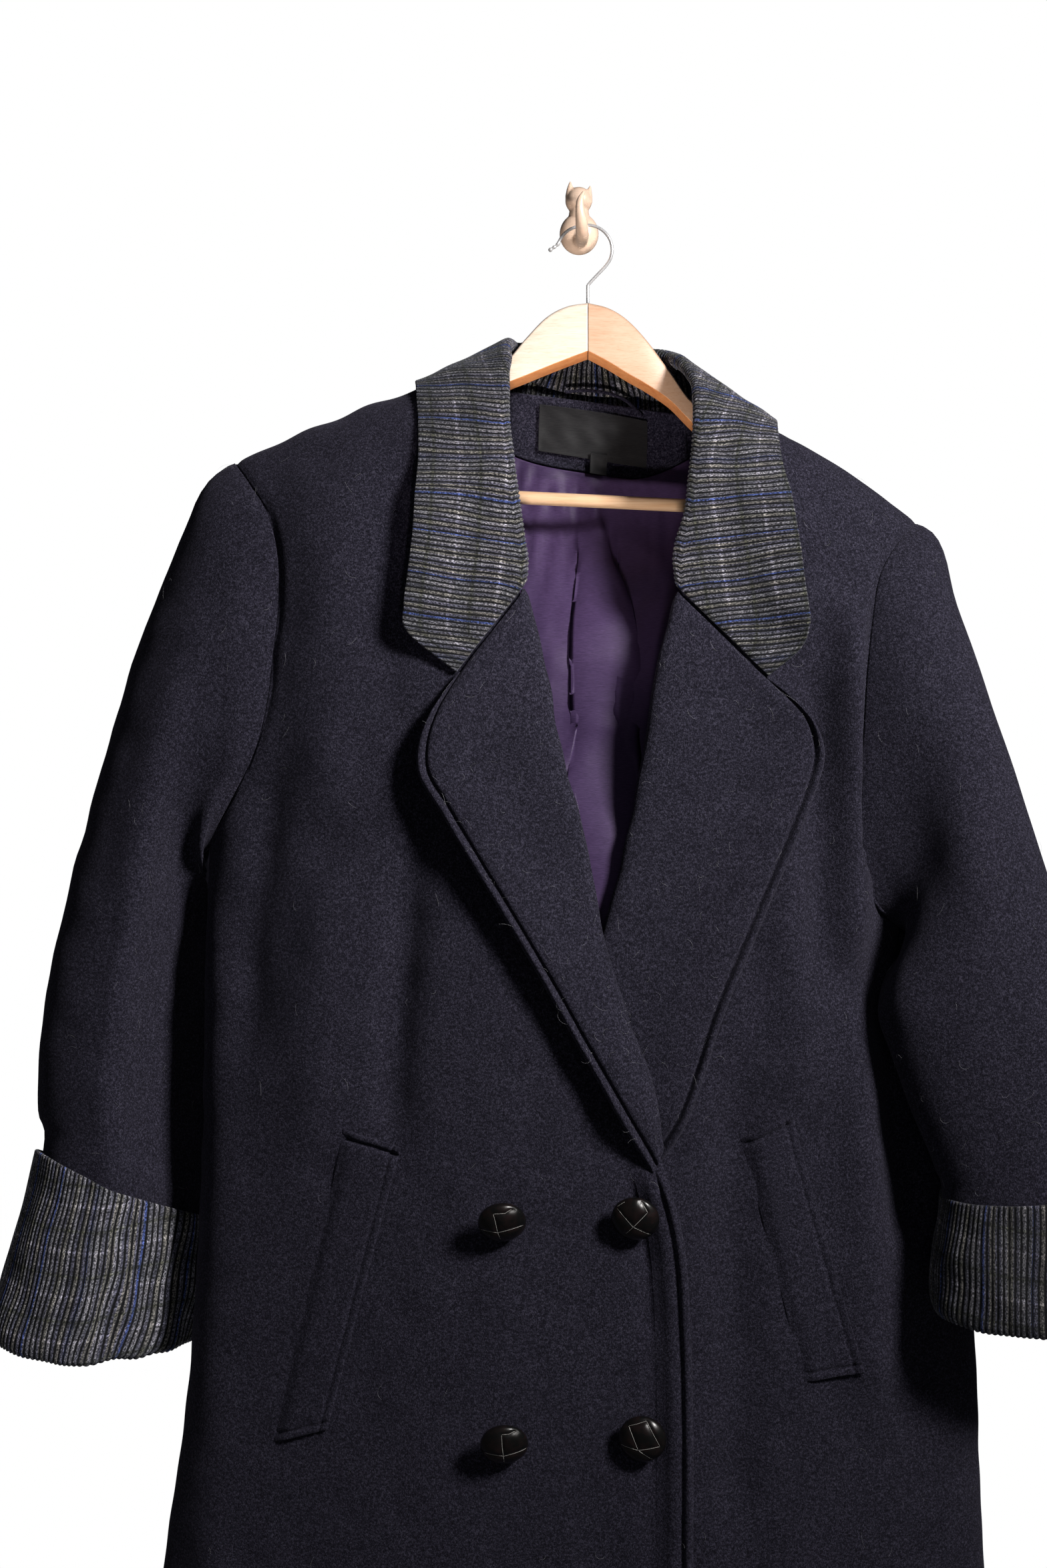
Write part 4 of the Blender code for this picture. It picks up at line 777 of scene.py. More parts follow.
def cloth(name, nodes, grid, away, wall, paint, slot, lift=0.0, cut=0.0, wrap=False, uv=None, normal=None):
    """A sheet with two faces: lift raises both, and cut thins it towards its free edges."""
    if normal is None:
        normal = outward(normals_of(grid, wrap), away)
    lift = np.broadcast_to(lift, grid.shape[:2])[..., None]
    cut = np.broadcast_to(cut, grid.shape[:2])[..., None]
    outer = grid + normal * (lift - cut)
    inner = grid + normal * (lift - wall + cut)
    rows, cols = grid.shape[:2]
    points = np.concatenate([outer.reshape(-1, 3), inner.reshape(-1, 3)])
    number = np.arange(rows * cols).reshape(rows, cols)
    if wrap:
        number = np.concatenate([number, number[:, :1]], 1)
    a, b, c, d = number[:-1, :-1], number[:-1, 1:], number[1:, 1:], number[1:, :-1]
    front = np.stack([a, b, c, d], -1).reshape(-1, 4)
    back = front[:, ::-1] + rows * cols
    rims = [number[0], number[-1][::-1]]
    if not wrap:
        rims += [number[::-1, 0], number[:, -1]]
    sides = []
    for rim in rims:
        sides.append(np.stack([rim[1:], rim[:-1], rim[:-1] + rows * cols, rim[1:] + rows * cols], -1))
    faces = np.concatenate([front, back] + sides)
    p = points[front[len(front) // 2]]
    if np.cross(p[1] - p[0], p[2] - p[0]) @ normal.reshape(-1, 3)[front[len(front) // 2, 0]] < 0:
        faces = faces[:, ::-1]
    if uv is None:
        uv = np.stack([lengths(grid, 1), lengths(grid, 0)], -1)
    item = mesh_of(name, points, faces, np.tile(uv.reshape(-1, 2), (2, 1)))
    item.data.materials.append(paint)
    own(item, slot, *nodes)
    return item, outer


def own(item, slot, *nodes):
    """Makes a piece part of the object, in the place of some of its CAD nodes."""
    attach(item, "root")
    if nodes:
        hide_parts(*nodes)




# Paints
def tree_of(name, rough):
    material = bpy.data.materials.new(name)
    material.use_nodes = True
    tree = material.node_tree
    shader = tree.nodes["Principled BSDF"]
    shader.inputs["Roughness"].default_value = rough
    return material, tree, shader


def put(tree, socket, value):
    if isinstance(value, bpy.types.NodeSocket):
        tree.links.new(value, socket)
    elif value is not None:
        socket.default_value = value


def maths(tree, operation, first, second=None, third=None):
    node = tree.nodes.new("ShaderNodeMath")
    node.operation = operation
    for socket, value in zip(node.inputs, (first, second, third)):
        put(tree, socket, value)
    return node.outputs[0]


def placed(tree, source="Object", scale=(1, 1, 1), turn=(0, 0, 0)):
    where = tree.nodes.new("ShaderNodeTexCoord").outputs[source]
    mapping = tree.nodes.new("ShaderNodeMapping")
    mapping.inputs["Scale"].default_value = scale
    mapping.inputs["Rotation"].default_value = turn
    put(tree, mapping.inputs["Vector"], where)
    return mapping.outputs[0]


def noise(tree, where, scale, detail=3.0, rough=0.55):
    node = tree.nodes.new("ShaderNodeTexNoise")
    put(tree, node.inputs["Vector"], where)
    node.inputs["Scale"].default_value = scale
    node.inputs["Detail"].default_value = detail
    node.inputs["Roughness"].default_value = rough
    return node.outputs["Fac"]


def ramp(tree, factor, stops, kind="LINEAR"):
    node = tree.nodes.new("ShaderNodeValToRGB")
    node.color_ramp.interpolation = kind
    points = node.color_ramp.elements
    while len(points) < len(stops):
        points.new(0.5)
    for point, (at, colour) in zip(points, stops):
        point.position = at
        point.color = (*colour, 1)
    put(tree, node.inputs[0], factor)
    return node.outputs[0]


def blend(tree, how, factor, first, second):
    node = tree.nodes.new("ShaderNodeMix")
    node.data_type = "RGBA"
    node.blend_type = how
    put(tree, node.inputs[0], factor)
    for socket, value in ((node.inputs[6], first), (node.inputs[7], second)):
        put(tree, socket, (*value, 1) if isinstance(value, tuple) else value)
    return node.outputs[2]


def bump(tree, shader, height, distance, strength=1.0):
    node = tree.nodes.new("ShaderNodeBump")
    node.inputs["Distance"].default_value = distance
    node.inputs["Strength"].default_value = strength
    put(tree, node.inputs["Height"], height)
    put(tree, shader.inputs["Normal"], node.outputs[0])


def wool_paint(name, tint=1.0):
    """Fulled wool: a felted face of short fibres over a weave that barely shows."""
    material, tree, shader = tree_of(name, 0.95)
    where = placed(tree)
    clumps = noise(tree, placed(tree, "Object", (1, 1, 1.4), (0, 0.4, 0)), 520, 4, 0.8)
    fibres = noise(tree, placed(tree, "Object", (2.6, 1, 1), (0, 0.9, 0)), 760, 3, 0.75)
    cloud = noise(tree, where, 26, 2)
    felt = maths(tree, "ADD", maths(tree, "MULTIPLY", clumps, 0.5), maths(tree, "MULTIPLY", fibres, 0.5))
    shade = ramp(tree, felt, (
        (0.39, (0.0014 * tint, 0.0012 * tint, 0.0032 * tint)),
        (0.50, (0.0088 * tint, 0.0080 * tint, 0.0150 * tint)),
        (0.60, (0.0420 * tint, 0.0392 * tint, 0.0600 * tint)),
    ))
    tone = ramp(tree, cloud, ((0.3, (0.86, 0.86, 0.88)), (0.7, (1.0, 1.0, 1.0))))
    put(tree, shader.inputs["Base Color"], blend(tree, "MULTIPLY", 1.0, shade, tone))
    shader.inputs["Specular IOR Level"].default_value = 0.15
    shader.inputs["Sheen Weight"].default_value = 0.06
    shader.inputs["Sheen Roughness"].default_value = 0.45
    shader.inputs["Sheen Tint"].default_value = (0.62, 0.58, 0.80, 1)
    bump(tree, shader, felt, 0.0011, 0.75)
    return material


PITCH = 0.0033
CHECK_WALES = 8.6
CHECK_ACROSS = 0.031


def corduroy_paint(name, light=1.0):
    """Cut corduroy: each wale takes its yarn's colour, and a check runs across them. The grooves between the
    wales get painted shade; a light above 1 paints light onto the wale tops, and one below 1 paints shade.
    """
    material, tree, shader = tree_of(name, 0.9)
    parts = tree.nodes.new("ShaderNodeSeparateXYZ")
    put(tree, parts.inputs[0], placed(tree, "UV"))
    wale = maths(tree, "DIVIDE", parts.outputs[0], PITCH)
    along = parts.outputs[1]
    stripe = maths(tree, "FRACT", maths(tree, "DIVIDE", wale, CHECK_WALES))
    yarn = ramp(tree, stripe, (
        (0.00, (0.024, 0.036, 0.105)), (0.05, (0.054, 0.054, 0.064)), (0.17, (0.080, 0.079, 0.088)),
        (0.29, (0.044, 0.044, 0.056)), (0.41, (0.066, 0.064, 0.060)), (0.53, (0.092, 0.091, 0.104)),
        (0.65, (0.044, 0.044, 0.060)), (0.77, (0.070, 0.067, 0.064)), (0.89, (0.048, 0.048, 0.066)),
    ), "CONSTANT")
    over = maths(tree, "FRACT", maths(tree, "DIVIDE", along, CHECK_ACROSS))
    check = ramp(tree, over, (
        (0.00, (0.95, 0.98, 1.0)), (0.30, (0.80, 0.82, 0.82)), (0.36, (0.46, 0.50, 0.38)),
        (0.42, (0.80, 0.82, 0.84)), (0.60, (0.95, 0.96, 1.0)), (0.86, (1.0, 1.0, 1.0)),
        (0.91, (2.1, 2.1, 2.2)), (0.96, (1.0, 1.0, 1.0)),
    ))
    tufts = noise(tree, placed(tree, "UV", (1, 0.45, 1)), 1500, 3, 0.7)
    specks = ramp(tree, tufts, (
        (0.40, (0.12, 0.12, 0.14)), (0.5, (0.75, 0.75, 0.75)), (0.60, (3.0, 2.9, 2.9)),
    ))
    patches = noise(tree, placed(tree, "UV", (1, 1, 1)), 160, 2)
    worn = ramp(tree, patches, ((0.35, (0.6, 0.6, 0.62)), (0.65, (1.25, 1.25, 1.22))))
    # The grooves between the wales are painted near-black as painted shade in the recesses. light scales the
    # wale tops: painted light above 1, painted shade below 1
    from_middle = maths(tree, "ABSOLUTE", maths(tree, "SUBTRACT", maths(tree, "FRACT", wale), 0.5))
    painted_light_and_groove_shade = ramp(tree, from_middle, ((0.24, (light, light, light)), (0.37, (0.025, 0.025, 0.030))))
    shade = blend(tree, "MULTIPLY", 1.0, yarn, check)
    for layer in (specks, worn, painted_light_and_groove_shade):
        shade = blend(tree, "MULTIPLY", 1.0, shade, layer)
    put(tree, shader.inputs["Base Color"], shade)
    shader.inputs["Specular IOR Level"].default_value = 0.2
    shader.inputs["Sheen Weight"].default_value = 0.12
    shader.inputs["Sheen Roughness"].default_value = 0.5
    shader.inputs["Sheen Tint"].default_value = (0.7, 0.75, 0.85, 1)
    bump(tree, shader, tufts, 0.0007, 0.6)
    return material


def satin_paint(name, dark, light, rough, shine=0.3):
    material, tree, shader = tree_of(name, rough)
    threads = noise(tree, placed(tree, "Object", (1, 1, 14)), 260, 3)
    put(tree, shader.inputs["Base Color"], ramp(tree, threads, ((0.3, dark), (0.7, light))))
    shader.inputs["Specular IOR Level"].default_value = shine
    bump(tree, shader, threads, 0.0002, 0.5)
    return material


def leather_paint(name):
    """Polished black leather, browner where it is worn."""
    material, tree, shader = tree_of(name, 0.20)
    cells = tree.nodes.new("ShaderNodeTexVoronoi")
    cells.inputs["Scale"].default_value = 1500
    put(tree, cells.inputs["Vector"], placed(tree))
    wear = noise(tree, placed(tree), 130, 3)
    shade = ramp(tree, wear, ((0.42, (0.003, 0.003, 0.003)), (0.75, (0.010, 0.005, 0.005))))
    put(tree, shader.inputs["Base Color"], shade)
    put(tree, shader.inputs["Roughness"], maths(tree, "ADD", maths(tree, "MULTIPLY", wear, 0.14), 0.22))
    shader.inputs["Specular IOR Level"].default_value = 0.35
    bump(tree, shader, cells.outputs["Distance"], 0.00005, 0.3)
    return material


def wood_paint(name, slope, pale, deep):
    """Straight-grained varnished wood; slope is how the piece lies, in radians about Y."""
    material, tree, shader = tree_of(name, 0.34)
    grain = noise(tree, placed(tree, "Object", (5, 130, 130), (0, slope, 0)), 3.2, 6, 0.6)
    lines = noise(tree, placed(tree, "Object", (14, 900, 900), (0, slope, 0)), 2.0, 3, 0.7)
    broad = noise(tree, placed(tree, "Object", (3, 18, 18), (0, slope, 0)), 3.0, 3)
    mixed = maths(tree, "ADD", maths(tree, "MULTIPLY", grain, 0.6), maths(tree, "MULTIPLY", broad, 0.4))
    shade = ramp(tree, mixed, ((0.34, deep), (0.62, pale)))
    streaks = ramp(tree, lines, ((0.32, (0.80, 0.72, 0.62)), (0.5, (1, 1, 1))))
    put(tree, shader.inputs["Base Color"], blend(tree, "MULTIPLY", 0.7, shade, streaks))
    shader.inputs["Coat Weight"].default_value = 0.35
    shader.inputs["Coat Roughness"].default_value = 0.18
    bump(tree, shader, lines, 0.00015, 0.4)
    return material


def metal_paint(name, colour, rough, spots, metallic):
    material, tree, shader = tree_of(name, rough)
    shader.inputs["Metallic"].default_value = metallic
    tone = noise(tree, placed(tree), spots, 3)
    low = tuple(v * 0.82 for v in colour)
    put(tree, shader.inputs["Base Color"], ramp(tree, tone, ((0.3, low), (0.7, colour))))
    uneven = maths(tree, "ADD", maths(tree, "MULTIPLY", tone, 0.12), rough - 0.06)
    put(tree, shader.inputs["Roughness"], uneven)
    bump(tree, shader, tone, 0.0001, 0.2)
    return material


WOOL_PAINT = wool_paint("navy_wool")
CORD_PAINT = corduroy_paint("check_corduroy")
# One cloth in two copies: the viewer's-left cuff has painted light on its wale tops, and the viewer's-right
# cuff has painted shade. left and right in these names are the viewer's
CUFF_PAINTS_LIT_AND_SHADED = {
    -1: corduroy_paint("check_corduroy_left_painted_light", 1.7),
    1: corduroy_paint("check_corduroy_right_painted_shade", 0.75),
}
SATIN_PAINT = satin_paint("purple_satin", (0.029, 0.017, 0.047), (0.054, 0.032, 0.084), 0.50, 0.16)
LABEL_PAINT = satin_paint("black_ribbon", (0.007, 0.007, 0.008), (0.014, 0.014, 0.015), 0.60, 0.12)
LEATHER_PAINT = leather_paint("button_leather")
# The two arms are one wood in two copies: the viewer's-left arm is painted paler as painted light, and the
# viewer's-right arm darker and oranger as painted shade
ARM_WOOD_PAINTED_LIGHT = wood_paint("left_arm_wood_painted_light", 0.36, (0.66, 0.57, 0.49), (0.60, 0.47, 0.37))
ARM_WOOD_PAINTED_SHADE = wood_paint("right_arm_wood_painted_shade", -0.52, (0.49, 0.33, 0.235), (0.455, 0.275, 0.18))
# The arms' undersides: a deep orange, as painted shade tinted by painted warm bounce light
UNDERSIDE_PAINTED_SHADE = wood_paint("arm_underside_painted_shade", 0.05, (0.85, 0.38, 0.15), (0.66, 0.23, 0.08))
BAR_WOOD = wood_paint("bar_wood", 0.05, (0.62, 0.44, 0.30), (0.52, 0.32, 0.18))
CHROME_PAINT = metal_paint("wire_chrome", (0.85, 0.85, 0.87), 0.20, 90, 0.65)
COPPER_PAINT = metal_paint("hook_copper", (1.0, 0.74, 0.57), 0.26, 120, 0.30)
THREAD_PAINT = satin_paint("seam_thread", (0.26, 0.25, 0.24), (0.45, 0.44, 0.42), 0.6)
LINT_PAINT = satin_paint("lint", (0.10, 0.10, 0.12), (0.42, 0.42, 0.44), 0.8)


# The fronts and the back
SEAM_DIP = 0.0013
SEAM_WIDE = 0.0035
STEP = 0.0062


def dip(d):
    """The valley of a sewn seam, at distance d from it."""
    return -SEAM_DIP * np.exp(-((d / SEAM_WIDE) ** 2))


def stitched(d, at=0.0062):
    """A raised edge: the cloth swells between a row of topstitching and the edge."""
    return groove(d, at, 0.0013, 0.0022) + 0.0018 * np.exp(-(((d - at * 0.5) / (at * 0.35)) ** 2))


def ends_of(grid, axis):
    near = lengths(grid, axis)
    return near, np.take(near, [-1], axis) - near


# Soft folds of the fronts: x and z at the top, x and z at the bottom, width, height
FRONT_FOLDS = {
    -1: (
        (-0.1685, -0.210, -0.1700, -0.420, 0.026, 0.0080), (-0.212, -0.400, -0.232, -0.590, 0.014, -0.0060),
        (-0.1080, -0.375, -0.1100, -0.465, 0.013, -0.0070), (-0.118, -0.470, -0.130, -0.640, 0.013, -0.0085),
        (-0.1680, -0.470, -0.1830, -0.640, 0.024, 0.0080), (-0.243, -0.520, -0.250, -0.980, 0.016, 0.0040),
    ),
    1: (
        (0.1790, -0.290, 0.1800, -0.520, 0.0130, 0.0140), (0.1560, -0.340, 0.1560, -0.540, 0.013, -0.0060),
        (0.1400, -0.440, 0.1480, -0.620, 0.022, 0.0090), (0.205, -0.530, 0.2250, -0.720, 0.018, -0.0130),
        (0.1850, -0.560, 0.1950, -0.820, 0.018, 0.0090), (0.100, -0.620, 0.1050, -0.900, 0.016, -0.0070),
    ),
}
FOLD_RUN = 0.06


def folded(grid, folds):
    """The height that soft folds add."""
    high = 0
    for x_top, z_top, x_low, z_low, wide, rise in folds:
        share = np.clip((z_top - grid[..., 2]) / (z_top - z_low), 0, 1)
        apart = (grid[..., 0] - x_top - (x_low - x_top) * share) / wide
        run = ease((z_top - grid[..., 2]) / FOLD_RUN + 0.5) * ease((grid[..., 2] - z_low) / FOLD_RUN + 0.5)
        high = high + rise * np.exp(-(apart**2)) * run
    return high


IRON_PASSES = 90
IRON_SHARE = 0.25
UNDERARM_Z = -0.50
UNDERARM_SPAN = 0.035


def ironed(grid):
    """Smooths a front's rows near the underarm, where they lie close."""
    for _ in range(IRON_PASSES):
        near = np.exp(-(((grid[1:-1, 1:-1, 2:] - UNDERARM_Z) / UNDERARM_SPAN) ** 2))
        bend = grid[2:, 1:-1] + grid[:-2, 1:-1] - 2 * grid[1:-1, 1:-1]
        grid[1:-1, 1:-1] += IRON_SHARE * near * bend
    return grid


# Shares of the way down to the next row at which a front gets extra rows below the underarm
EXTRA_ROWS = (0.15, 0.45)
# The rolled edge of the upper front below the break: its stitching, its height, where it ends and
# how fast, and the valley behind it
EDGE_BELOW = -0.652
EDGE_STITCH = 0.0072
EDGE_HIGH = 0.0095
EDGE_WIDE = 0.0135
EDGE_SLOPE = 0.0080
EDGE_VALLEY = (0.0235, 0.0060, 0.0020)


def front(name, side, opening, cols, flat, area):
    grid = front_grid(side, opening, cols)
    extra = [grid[ARM_ROWS] + share * (grid[ARM_ROWS + 1] - grid[ARM_ROWS]) for share in EXTRA_ROWS]
    grid, _, _ = finer(np.insert(grid, [ARM_ROWS + 1] * 2, extra, 0), (SEWN, FREE, FREE, SEWN), STEP)
    grid = ironed(grid)
    from_open, from_side = ends_of(grid, 1)
    from_top, from_hem = ends_of(grid, 0)
    below = ease((EDGE_BELOW - grid[..., 2]) / 0.025)
    edge = 1.2 * stitched(from_open, EDGE_STITCH)
    edge = edge + EDGE_HIGH * (1 - ease((from_open - EDGE_WIDE) / EDGE_SLOPE))
    edge = edge + groove(from_open, *EDGE_VALLEY)
    lift = dip(from_side) + dip(from_top) + (edge * below if side < 0 else 0)
    for x, z, *_ in BUTTONS if side < 0 else ():
        away = np.hypot(grid[..., 0] - x, grid[..., 2] - z)
        lift -= 0.0016 * np.exp(-((away / 0.013) ** 2))
    lift += 0.0006 * waves(grid, 0.045, 3) + folded(grid, FRONT_FOLDS[side]) * ease(from_side / 0.006)
    cut = round_off(np.minimum(from_open, from_hem), WOOL / 2)
    item, outer = cloth(name + "_dressed", [name], grid, (0, -1, 0), WOOL, WOOL_PAINT, "wool", lift, cut)
    return outer


def back():
    grid, _, _ = finer(back_grid(6), (SEWN, FREE, SEWN, SEWN), 0.0075)
    sides = np.minimum(*ends_of(grid, 1))
    from_top, from_hem = ends_of(grid, 0)
    lift = dip(sides) + dip(from_top) + 0.0003 * waves(grid, 0.03, 5)
    cut = round_off(from_hem, WOOL / 2)
    item, _ = cloth("back_dressed", ["back"], grid, (0, 1, 0), WOOL, WOOL_PAINT, "wool", lift, cut)


# Sleeves and cuffs
# How far the inner side of each sleeve is moved at a station: station, backward, inward
SLEEVE_TUCK = {
    -1: np.array([(0, 0, 0), (0.5, 0, 0), (2, 0.046, 0.009), (12, 0.046, 0.009)]),
    1: np.array([
        (0, 0, 0), (1, 0, 0), (2, 0, 0.020), (3, -0.002, 0.036), (4, -0.005, 0.040),
        (5, -0.008, 0.038), (6.5, -0.006, 0.030), (8, -0.002, 0.016), (10, 0, 0.005), (12, 0, 0),
    ]),
}
SLEEVE_HALF = 0.055
NEAR_WALL = -0.006
# The share of its depth that the wearer's right sleeve keeps behind NEAR_WALL, to stay by the wall.
# Sleeve and cuff cross more for it
PRESSED = 0.2


def tucked(grid, side, station):
    """A sleeve's rings at their stations, with the inner half moved."""
    middle = grid.mean(1, keepdims=True)
    inner = np.clip((grid - middle)[..., 0] * -side / SLEEVE_HALF, 0, 1)
    back, under = (table(SLEEVE_TUCK[side], c, station)[:, None] for c in (1, 2))
    y = grid[..., 1] + back * inner
    y = np.minimum(y, NEAR_WALL + PRESSED * (y - NEAR_WALL)) if side < 0 else y
    return np.stack([grid[..., 0] - side * under * inner**2, y, grid[..., 2]], -1)


def armhole_tape(name, side):
    """The seam allowance behind an armhole's seam."""
    loop, normal, _ = arm_loop(side)
    path = loop - normal * 0.0034
    path = smooth_path(np.concatenate([path, path[:1]]), 160)
    tube(name, path, 0.0019, 10, WOOL_PAINT, "wool")


def sleeve(name, side):
    coarse = tucked(sleeve_grid(side), side, STATIONS)
    grid, r, c = finer(coarse, (SEWN, FREE, BARE, BARE), STEP, True)
    t = np.interp(r, np.arange(len(STATIONS)), STATIONS)[:, None]
    turn = c / coarse.shape[1] * 2 * np.pi
    from_head, from_wrist = ends_of(grid, 0)
    lift = dip(from_head) * ease((np.cos(turn) + 0.6) / 0.6) + 0.0006 * waves(grid, 0.045, 7 + side)
    for at, wide, start, end, high in SLEEVE_FOLDS[side]:
        apart = (turn - at[0] - (at[1] - at[0]) * np.clip((t - start) / (end - start), 0, 1)) / wide
        lift = lift + high * np.exp(-(apart**2)) * ease((t - start) / 0.6) * ease((end - t) / 0.8)
    cut = round_off(from_wrist, WOOL / 2)
    outward = grid - grid.mean(1, keepdims=True)
    item, outer = cloth(
        name + "_dressed", [name], grid, outward, WOOL, WOOL_PAINT, "wool", lift, cut, True,
    )
    armhole_tape("armhole_tape" + name[6:], side)
    return outer


# Folds of the sleeves: turn at the start and end, width, stations, height
SLEEVE_FOLDS = {
    -1: (
        ((1.25, 1.45), 0.28, 0.15, 5.5, 0.0035), ((1.95, 2.1), 0.22, 0.6, 5.0, -0.0035),
        ((2.55, 2.45), 0.20, 1.2, 5.5, 0.0025), ((1.2, 2.2), 0.25, 7.5, 10.5, 0.0022),
    ),
    1: (
        ((1.35, 1.5), 0.28, 0.15, 5.5, 0.0030), ((2.0, 2.0), 0.22, 0.6, 5.5, -0.0010),
        ((2.6, 2.5), 0.22, 1.2, 6.0, 0.0025), ((1.3, 2.0), 0.25, 7.5, 10.5, 0.0020),
    ),
}


def wale(phase):
    """The height of a corduroy ridge, 0 in the groove and 1 on top."""
    return np.abs(np.sin(np.pi * phase)) ** 0.75


WALE_HIGH = 0.0011
WALE_POINTS = 6


def cuff(name, side):
    coarse = tucked(cuff_grid(side), side, np.full(10, STATIONS[-1]))
    rows, cols = coarse.shape[:2]
    r_try = np.linspace(0, rows - 1, 80)
    rough = surface(coarse, r_try[:, None], np.arange(cols + 1)[None], True)
    round_length = lengths(rough, 1)[-1, -1]
    count = int(round(round_length / PITCH))
    down = lengths(rough, 0).mean(1)
    r = np.interp(stops(down[-1], SEWN, FREE, 0.005), down, r_try)[:, None]
    c = np.arange(count * WALE_POINTS) * cols / (count * WALE_POINTS)
    grid = surface(coarse, r, c[None], True)
    phase = np.broadcast_to(np.arange(count * WALE_POINTS) / WALE_POINTS, grid.shape[:2])
    phase = phase + 0.35 * waves(grid, 0.05, 11)
    from_inside, from_rim = ends_of(grid, 0)
    lift = WALE_HIGH * (wale(phase) - 0.6) + 0.0008 * waves(grid, 0.035, 13 + side)
    cut = round_off(from_rim, CORD / 2)
    uv = np.stack([phase * PITCH, from_inside], -1)
    normal = normals_of(grid, True)
    normal = normal * np.sign(((grid - grid.mean(1, keepdims=True)) * normal)[-20:].sum())
    # Each cuff takes its own copy of the corduroy: the viewer's-left cuff with painted light, the
    # viewer's-right one with painted shade
    item, _ = cloth(
        name + "_dressed", [name], grid, None, CORD, CUFF_PAINTS_LIT_AND_SHADED[side], "corduroy", lift, cut,
        True, uv, normal,
    )


# Lapels and collar, whose outer edges stand off the fronts
LAPEL_STAND = 0.0115
LEAF_STAND = 0.0140


def lapel(name, side, rows):
    grid, _, _ = finer(lapel_grid(side, rows), (SEWN, SEWN, BARE, FREE), 0.0045)
    _, from_edge = ends_of(grid, 1)
    from_gorge, from_break = ends_of(grid, 0)
    lift = 1.5 * stitched(from_edge) + dip(from_gorge) + 0.0005 * waves(grid, 0.035, 17)
    lift = lift + (
        LAPEL_STAND * ease(1 - from_edge / 0.055) * ease(from_gorge / 0.05) * ease(from_break / 0.05)
    )
    cut = round_off(np.minimum(from_edge, from_break), WOOL / 2)
    item, outer = cloth(name + "_dressed", [name], grid, (0, -1, 0), WOOL, WOOL_PAINT, "wool", lift, cut)
    return outer


# Corduroy wales cross the collar: level on the two leaves, and upright behind the neck
WALES_LEVEL_BELOW = {-1: -0.190, 1: -0.205}
WALE_SLANT = 0.009
STRIPE_SHIFT = 0.022


def wale_count(line, side, slant):
    """Wales from the middle of the back to each point of one half of a fold or an edge."""
    start = WALES_LEVEL_BELOW[side]
    z = line[:, 2]
    walk = lengths(line[:, None], 0)[:, 0]
    past = np.argmax(z < start)
    whole = np.interp(start, z[past - 1:past + 1][::-1], walk[past - 1:past + 1][::-1])
    level = (start - z + slant * ease((start - z) / 0.06)) / PITCH
    return walk, whole, np.where(z < start, level, 0)


def collar_field(fold, edge, side):
    """How many wales lie between the middle of the back and each point, on the fold and on the edge."""
    lines = [wale_count(fold, side, 0), wale_count(edge, side, WALE_SLANT)]
    behind_neck = (lines[0][1] + lines[1][1]) / 2 / PITCH
    return [np.minimum(walk / whole, 1) * behind_neck + level for walk, whole, level in lines]


def collar():
    coarse, across, steps = collar_grid()
    rows, cols = coarse.shape[:2]
    legs = cols - len(across)
    r_try = np.linspace(0, rows - 1, (rows - 1) * 12 + 1)
    t_try = np.interp(r_try, np.arange(rows), steps)
    fold_edge = surface(coarse, r_try[:, None], np.array([(legs - 1) / 2, cols - 1])[None])
    half = np.argmin(np.abs(t_try - BACK_ROW))
    field = np.zeros((len(r_try), 2))
    for side, part in ((-1, slice(half, None, -1)), (1, slice(half, None))):
        lines = collar_field(fold_edge[part, 0], fold_edge[part, 1], side)
        field[part] = -side * np.stack(lines, -1)
    c = np.concatenate([[0, 0.5], np.arange(1, legs - 1, 0.5), legs - 1 + np.linspace(0, len(across), 19)])
    c = np.concatenate([c, cols - 1 - np.array([0.10, 0.05, 0.02])])
    c = np.unique(np.round(c, 4))
    share = np.interp(c, np.arange(legs - 1, cols), np.concatenate([[0], across]))
    most, least = field[:, 1].max(), field[:, 1].min()
    count = np.arange(most, least, -1 / WALE_POINTS)
    r = np.empty((len(count), len(c)))
    phase = np.empty_like(r)
    ends = np.empty_like(r)
    for k, at in enumerate(share):
        own_field = field[:, 0] * (1 - at) + field[:, 1] * at
        r[:, k] = np.interp(count, own_field[::-1], r_try[::-1])
        phase[:, k] = np.clip(count, own_field.min(), own_field.max())
        ends[:, k] = np.minimum(own_field.max() - phase[:, k], phase[:, k] - own_field.min()) * PITCH
    c = np.broadcast_to(c[None], r.shape)
    grid = surface(coarse, r, c)
    small = 1e-3
    over = surface(coarse, r, c + small) - surface(coarse, r, c - small)
    down = surface(coarse, r + small, c) - surface(coarse, r - small, c)
    normal = unit(np.cross(over, down))
    normal = normal * -np.sign(normal[len(count) // 8, -4, 1])
    _, from_edge = ends_of(grid, 1)
    t = np.interp(r, np.arange(rows), steps)
    wander = phase + 0.22 * waves(grid, 0.045, 19)
    lift = WALE_HIGH * (wale(wander) - 0.6) + dip(ends) * 0.7 + 0.0005 * waves(grid, 0.03, 23)
    lift = lift + (
        LEAF_STAND * ease(1 - from_edge / 0.045) * ease((-0.17 - grid[..., 2]) / 0.06) * ease(ends / 0.04)
    )
    cut = round_off(from_edge, CORD / 2)
    uv = np.stack([wander * PITCH, from_edge - STRIPE_SHIFT * ease((t - BACK_ROW) / 6)], -1)
    item, _ = cloth(
        "collar_dressed", ["collar"], grid, None, CORD, CORD_PAINT, "corduroy", lift, cut, False, uv, normal,
    )
    melt(item)


def melt(item):
    """Joins points that lie on each other, as where a wale ends on a slanted edge."""
    form = bmesh.new()
    form.from_mesh(item.data)
    bmesh.ops.remove_doubles(form, verts=form.verts, dist=1e-7)
    form.to_mesh(item.data)
    form.free()


